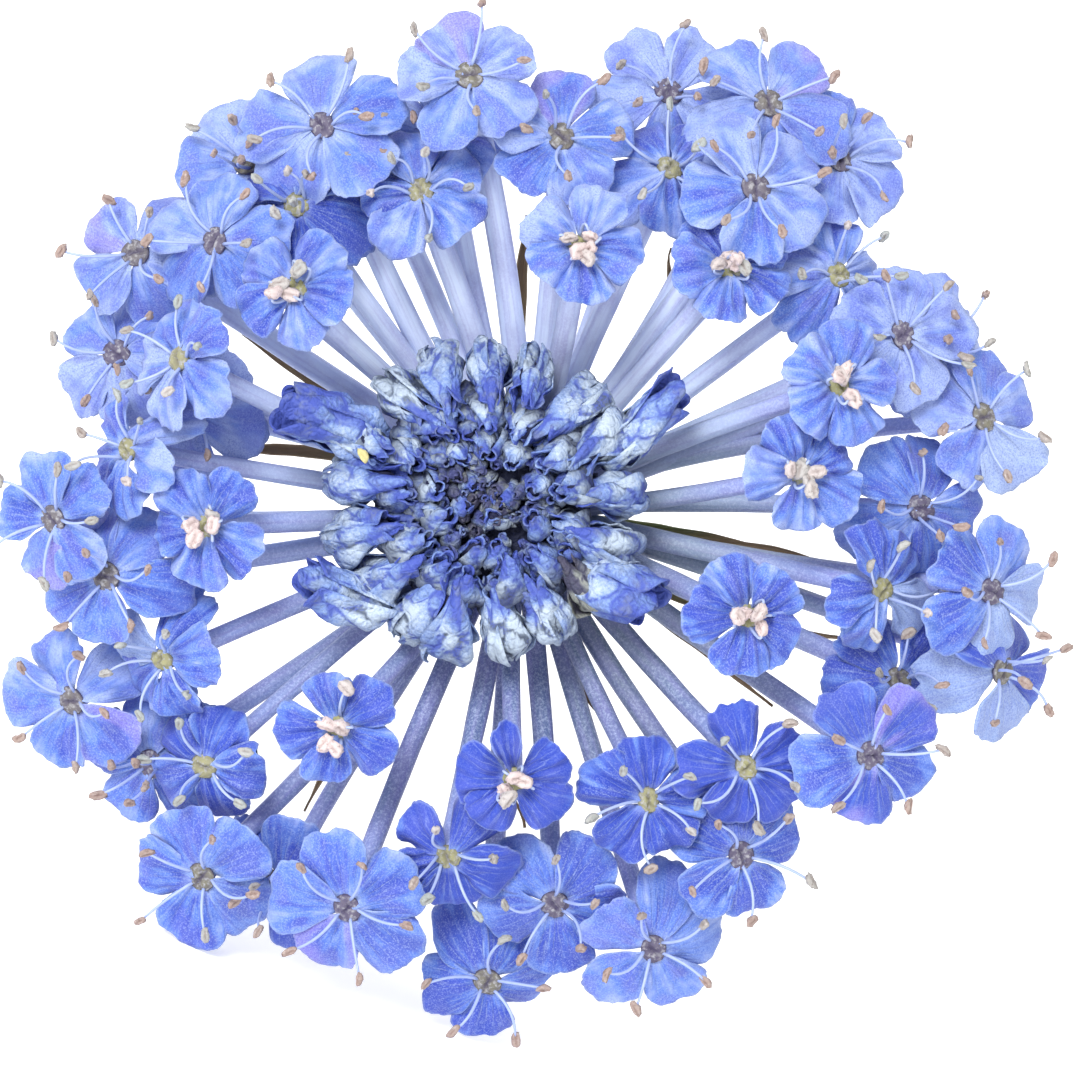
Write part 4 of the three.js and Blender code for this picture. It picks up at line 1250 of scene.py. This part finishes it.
def bud_leaf(bm, foot, axes, bend, look, rng):
    """One petal of a bud: a curved sheet, crumpled like paper, whose edges stand free"""
    offset = Vector((rng.uniform(0, 90), rng.uniform(0, 90), rng.uniform(0, 90)))
    phase = rng.uniform(0, math.tau)
    flare = rng.uniform(0.0, 0.14)
    skew = rng.uniform(-0.3, 0.3)
    free = rng.uniform(0.0, 0.2)
    half, length = look["width"] / 2, look["length"]

    def form(s, t):
        u = (s + 1) / 2
        angle = look["facing"] + t * look["span"] * mix(1, 0.8, u) + skew * u
        high = u * (1 - 0.13 * t * t) - 0.07 * (1 - u) * abs(math.sin(2.2 * t + phase))
        body = Vector((math.cos(angle) * half, math.sin(angle) * half, high * length * 0.75))
        large = noise.noise(offset + body * 0.9)
        height, crease = crumple(offset + body + Vector((large, 0, large)) * 0.5, 1.1 * half)
        r = bud_girth(u, look["mouth"]) + (0.4 * large + 0.42 * (height - 0.45)) * mix(1, 0.4, u)
        r += 0.07 * t + flare * smooth(0.85, 1, u) + 2 * free * abs(t) ** 3 * (1 - u)
        r += 0.1 * math.sin(3 * t + phase) * smooth(0.5, 1, u) - 2 * look["hood"] * smooth(0.75, 1, u)
        r = half * max(r, 0.2)
        place = Vector((r * math.cos(angle), r * math.sin(angle), high * length)) + bend * u * u
        lip = smooth(0.94, 1, max(u, abs(t)))
        # Bluer towards the mouth and in patches; the 0.45 - height term is painted light on the crumples'
        # tops and painted shade in their hollows
        blue = look["blue"] + smooth(0.35, 1.0, u) + 0.6 * large + 0.5 * (0.45 - height)
        # Painted shade on the sides that face away from the top, where neighbouring buds shade them
        flank = smooth(0.25, -0.45, math.cos(angle - look["top"])) * (1 - 0.6 * lip)
        # Painted shade in the creases and on the flanks; below zero at the lips
        creased = max(crease * (1 - lip) - lip, flank)
        # Painted shade that darkens the foot, deep among the buds
        depth_shade = look["buried"] * smooth(0.75, 0.2, u)
        return foot + axes @ place, Vector((u, depth_shade, 0)), Vector((blue, creased, look["dried"]))

    shell(bm, look["rows"], look["columns"], form, BUD_LEAF_THICKNESS)


def leaned(around, degrees):
    """The way up, leaned by an angle towards a heading"""
    return turned(degrees, heading(around + 90, 0)) @ Vector((0, 0, 1))


def bud_kind(length):
    """How a bud of the rings is made, by its length"""
    if length > OUTER_LENGTH:
        return OUTER_BUD
    return INNER_BUD if length > INNER_LENGTH else YOUNGER_BUD


def ring_buds():
    """The solids' buds, from the same draws: foot, direction, length, width and kind of each"""
    draw = draws(53)
    places = []
    for ring in BUD_RINGS:
        for k in range(ring["count"]):
            around = 360 * (k + 0.5 * next(draw)) / ring["count"]
            foot = heading(around, 0) * ring["radius"] + Vector((HEAD_X, HEAD_Y, ring["foot"]))
            direction = leaned(around, ring["lean"] + 16 * (next(draw) - 0.5))
            size = 0.9 + 0.2 * next(draw)
            length = ring["length"] * size
            places.append((foot, direction, length, ring["width"] * size, bud_kind(length)))
    return places


def stray_buds():
    """The buds that stand out from the head's edge, given in the same way"""
    for foot, tip, width in STRAY_BUDS:
        span = Vector(tip) - Vector(foot)
        yield Vector(foot), span.normalized(), span.length * 0.88, width, STRAY_BUD


def bud_head(colours, sizes):
    """Every bud with its short stalk, over a heart painted dark as shade, in an outer and an inner piece"""
    places = [*ring_buds(), *stray_buds()]
    rng = random.Random(61)
    outer_ring = range(BUD_RINGS[0]["count"])
    withered = min(outer_ring, key=lambda k: (places[k][0].xy - Vector(DRIED_PLACE)).length)
    outer, inner = new_bmesh(), new_bmesh()
    for index, (foot, direction, length, width, kind) in enumerate(places):
        bm = outer if length > OUTER_LENGTH else inner
        size, dried = (DRIED_SIZE, DRIED_SHARE) if index == withered else (1, 0)
        stretch = mix(0.8, 1.12, smooth(1.5, 3, length))
        root = foot - direction * 0.12 * length
        bud(bm, root, direction, length * stretch * size, width * 1.14 * size, rng, kind, dried)
        add_part(bm, bud_stalk, foot, direction, index)
        if index in outer_ring and index % 2:
            add_part(bm, crumb, foot - direction * CRUMB_DEPTH, 800 + index)
    small_buds(inner)
    add_part(inner, heart)
    fallen = Matrix.Translation(STRAY_ANTHER)
    add_part(inner, anther, fallen, Vector(), Vector((0.2, 1, 0.3)), AGES["mid"], sizes, rng, 2, 1)
    materials = [bud_surface(colours), stalk_surface(colours), anther_surface(colours)]
    finish_piece(outer, "outer_buds", ["bud_head"], materials)
    finish_piece(inner, "inner_buds", ["bud_head"], materials)


def bud_stalk(bm, foot, direction, index):
    """A bud's short stalk, bent up from the receptacle"""
    start = Vector((foot.x * 0.12, foot.y * 0.12, RECEPTACLE_HEIGHT - 0.3))
    bend = foot - direction * 1.4 - Vector((0, 0, 1.2))

    def path(u):
        return start * (1 - u) ** 2 + bend * 2 * u * (1 - u) + (foot + direction * 0.2) * u * u

    def radius(u, _):
        return mix(0.24, 0.42, u)

    def mark(u, angle):
        return Vector((u, angle / math.tau, index / 50)), Vector((0.7, 0.1, 0))

    paint(tube(bm, path, radius, 10, 8, mark, Vector((0.3, 0.2, 1))), 1)


def small_buds(bm):
    """The youngest buds, which fill the middle and the gaps between the larger ones"""
    rng = random.Random(77)
    for k in range(SMALL_BUDS):
        radius = SMALL_REACH * ((k + 0.5) / SMALL_BUDS) ** 0.66
        around = GOLDEN_ANGLE * k + rng.uniform(-16, 16)
        height = HEAD_TOP - 0.3 - 0.05 * radius * radius
        foot = heading(around, 0) * radius + Vector((HEAD_X, HEAD_Y, height))
        direction = leaned(around, -7 * radius + rng.uniform(-16, 16))
        grown = smooth(1, SMALL_REACH, radius)
        length = mix(1.1, 2.0, grown) * rng.uniform(0.8, 1.2)
        width = length * rng.uniform(0.62, 0.8)
        bud(bm, foot, direction, length, width, rng, SMALL_BUD, mix(rng.uniform(0.2, 0.9), 0, grown))


def crumb(bm, place, seed):
    """A withered brown scrap at a bud's foot"""
    offset = Vector((seed, 0, 0))

    def form(d):
        r = CRUMB_RADIUS * (1 + 0.8 * noise.noise(offset + d * 1.7))
        return place + d * r, Vector((0, 0, 0)), Vector((0, 0, 1.0))

    paint(blob(bm, 8, 6, form), 0)


def heart(bm):
    """The crowded ground that shows between the buds, painted dark as the shade among them"""
    def form(d):
        r = HEART_RADIUS * (1 + 0.06 * noise.noise(d * 4))
        place = Vector((HEAD_X + d.x * r, HEAD_Y + d.y * r, HEART_HEIGHT + d.z * HEART_RISE))
        # Painted shade: the heart takes nearly the darkest colour
        return place, Vector((0, 0.93, 0)), Vector((0.6, 0, 0.3))

    paint(blob(bm, 40, 20, form), 0)


# Stage


def stage_floor(scene):
    """A white floor with a little glow of its own, so that it stays as white as the photograph's"""
    bm = bmesh.new()
    bmesh.ops.create_grid(bm, x_segments=8, y_segments=8, size=FLOOR_HALF)
    mesh = bpy.data.meshes.new("floor")
    bm.to_mesh(mesh)
    bm.free()
    s = Surface("floor", 0.9)
    s.set(Base_Color=(*FLOOR_COLOUR, 1), Emission_Color=(1, 1, 1, 1), Emission_Strength=FLOOR_GLOW)
    mesh.materials.append(s.material)
    floor = bpy.data.objects.new("floor", mesh)
    scene.collection.objects.link(floor)


def stage_lights(scene):
    """An even white surrounding, and one soft light over the umbel's face"""
    world = bpy.data.worlds.new("studio")
    world.use_nodes = True
    background = world.node_tree.nodes["Background"]
    background.inputs["Color"].default_value = (1, 1, 1, 1)
    background.inputs["Strength"].default_value = SKY_STRENGTH
    scene.world = world
    light = bpy.data.lights.new("key", "SUN")
    light.energy = KEY_STRENGTH
    light.angle = math.radians(KEY_SOFTNESS)
    key = bpy.data.objects.new("key", light)
    toward = PLACE.to_3x3() @ Vector(KEY_AIM)
    key.rotation_mode = "QUATERNION"
    key.rotation_quaternion = toward.to_track_quat("-Z", "Y")
    scene.collection.objects.link(key)


def stage_camera(scene):
    """Looks straight down the umbel's axis, at the photograph's framing"""
    camera = bpy.data.cameras.new("camera")
    camera.sensor_width = SENSOR
    camera.lens = SENSOR * (CAMERA_DISTANCE - FACE_HEIGHT) / PHOTO_WIDTH
    camera.clip_start, camera.clip_end = 0.01, 20
    eye = bpy.data.objects.new("camera", camera)
    turn = PLACE.to_3x3() @ Matrix.Scale(1 / MM, 3)
    eye.rotation_mode = "QUATERNION"
    eye.rotation_quaternion = turn.to_quaternion()
    eye.location = PLACE @ Vector((*PHOTO_CENTRE, CAMERA_DISTANCE))
    scene.collection.objects.link(eye)
    scene.camera = eye


# Operators and panel


def given(context):
    """The colours and sizes that the panel shows"""
    return context.scene.flower_colours, context.scene.flower_sizes


class FLOWER_OT_stalks(bpy.types.Operator):
    """Makes the main stalk with all the florets' stalks"""

    bl_idname = "flower.stalks"
    bl_label = "Stalks"

    def execute(self, context):
        stalks(*given(context))
        return {"FINISHED"}


class FLOWER_OT_bracts(bpy.types.Operator):
    """Makes the collar of narrow bracts"""

    bl_idname = "flower.bracts"
    bl_label = "Bracts"

    def execute(self, context):
        involucre(*given(context))
        return {"FINISHED"}


class FLOWER_OT_buds(bpy.types.Operator):
    """Makes the head of buds"""

    bl_idname = "flower.buds"
    bl_label = "Bud head"

    def execute(self, context):
        bud_head(*given(context))
        return {"FINISHED"}


class FLOWER_OT_florets(bpy.types.Operator):
    """Makes every open floret"""

    bl_idname = "flower.florets"
    bl_label = "Florets"

    def execute(self, context):
        colours, sizes = given(context)
        surfaces = (petal_surface, disc_surface, filament_surface, anther_surface)
        materials = [make(colours) for make in surfaces]
        for index, spec in enumerate(FLORETS):
            bloom(index, spec, sizes, materials)
        return {"FINISHED"}


class FLOWER_OT_stage(bpy.types.Operator):
    """Makes the pale floor, the lights and the camera over the umbel's face"""

    bl_idname = "flower.stage"
    bl_label = "Stage"

    def execute(self, context):
        scene = context.scene
        stage_floor(scene)
        stage_lights(scene)
        stage_camera(scene)
        scene.view_settings.view_transform = "Standard"
        return {"FINISHED"}


STEPS = (FLOWER_OT_stalks, FLOWER_OT_bracts, FLOWER_OT_buds, FLOWER_OT_florets, FLOWER_OT_stage)


class FLOWER_PT_panel(bpy.types.Panel):
    """Lists the flower's operators, sizes and colours"""

    bl_idname = "FLOWER_PT_panel"
    bl_label = "Blue Lace Flower"
    bl_space_type = "VIEW_3D"
    bl_region_type = "UI"
    bl_category = "Flower"

    def draw(self, context):
        for step in STEPS:
            self.layout.operator(step.bl_idname)
        for group in (context.scene.flower_sizes, context.scene.flower_colours):
            for name in group.__annotations__:
                self.layout.prop(group, name)


CLASSES = (FlowerSizes, FlowerColours, *STEPS, FLOWER_PT_panel)


def register():
    """Adds the operators, the panel and the scene's sizes and colours"""
    for each in CLASSES:
        bpy.utils.register_class(each)
    bpy.types.Scene.flower_sizes = PointerProperty(type=FlowerSizes)
    bpy.types.Scene.flower_colours = PointerProperty(type=FlowerColours)


def unregister():
    """Takes away what register adds"""
    del bpy.types.Scene.flower_colours
    del bpy.types.Scene.flower_sizes
    for each in reversed(CLASSES):
        bpy.utils.unregister_class(each)


def main():
    """Makes the whole scene"""
    register()
    bpy.ops.flower.stalks()
    bpy.ops.flower.bracts()
    bpy.ops.flower.buds()
    bpy.ops.flower.florets()
    bpy.ops.flower.stage()
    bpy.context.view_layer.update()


if __name__ == "__main__":
    main()
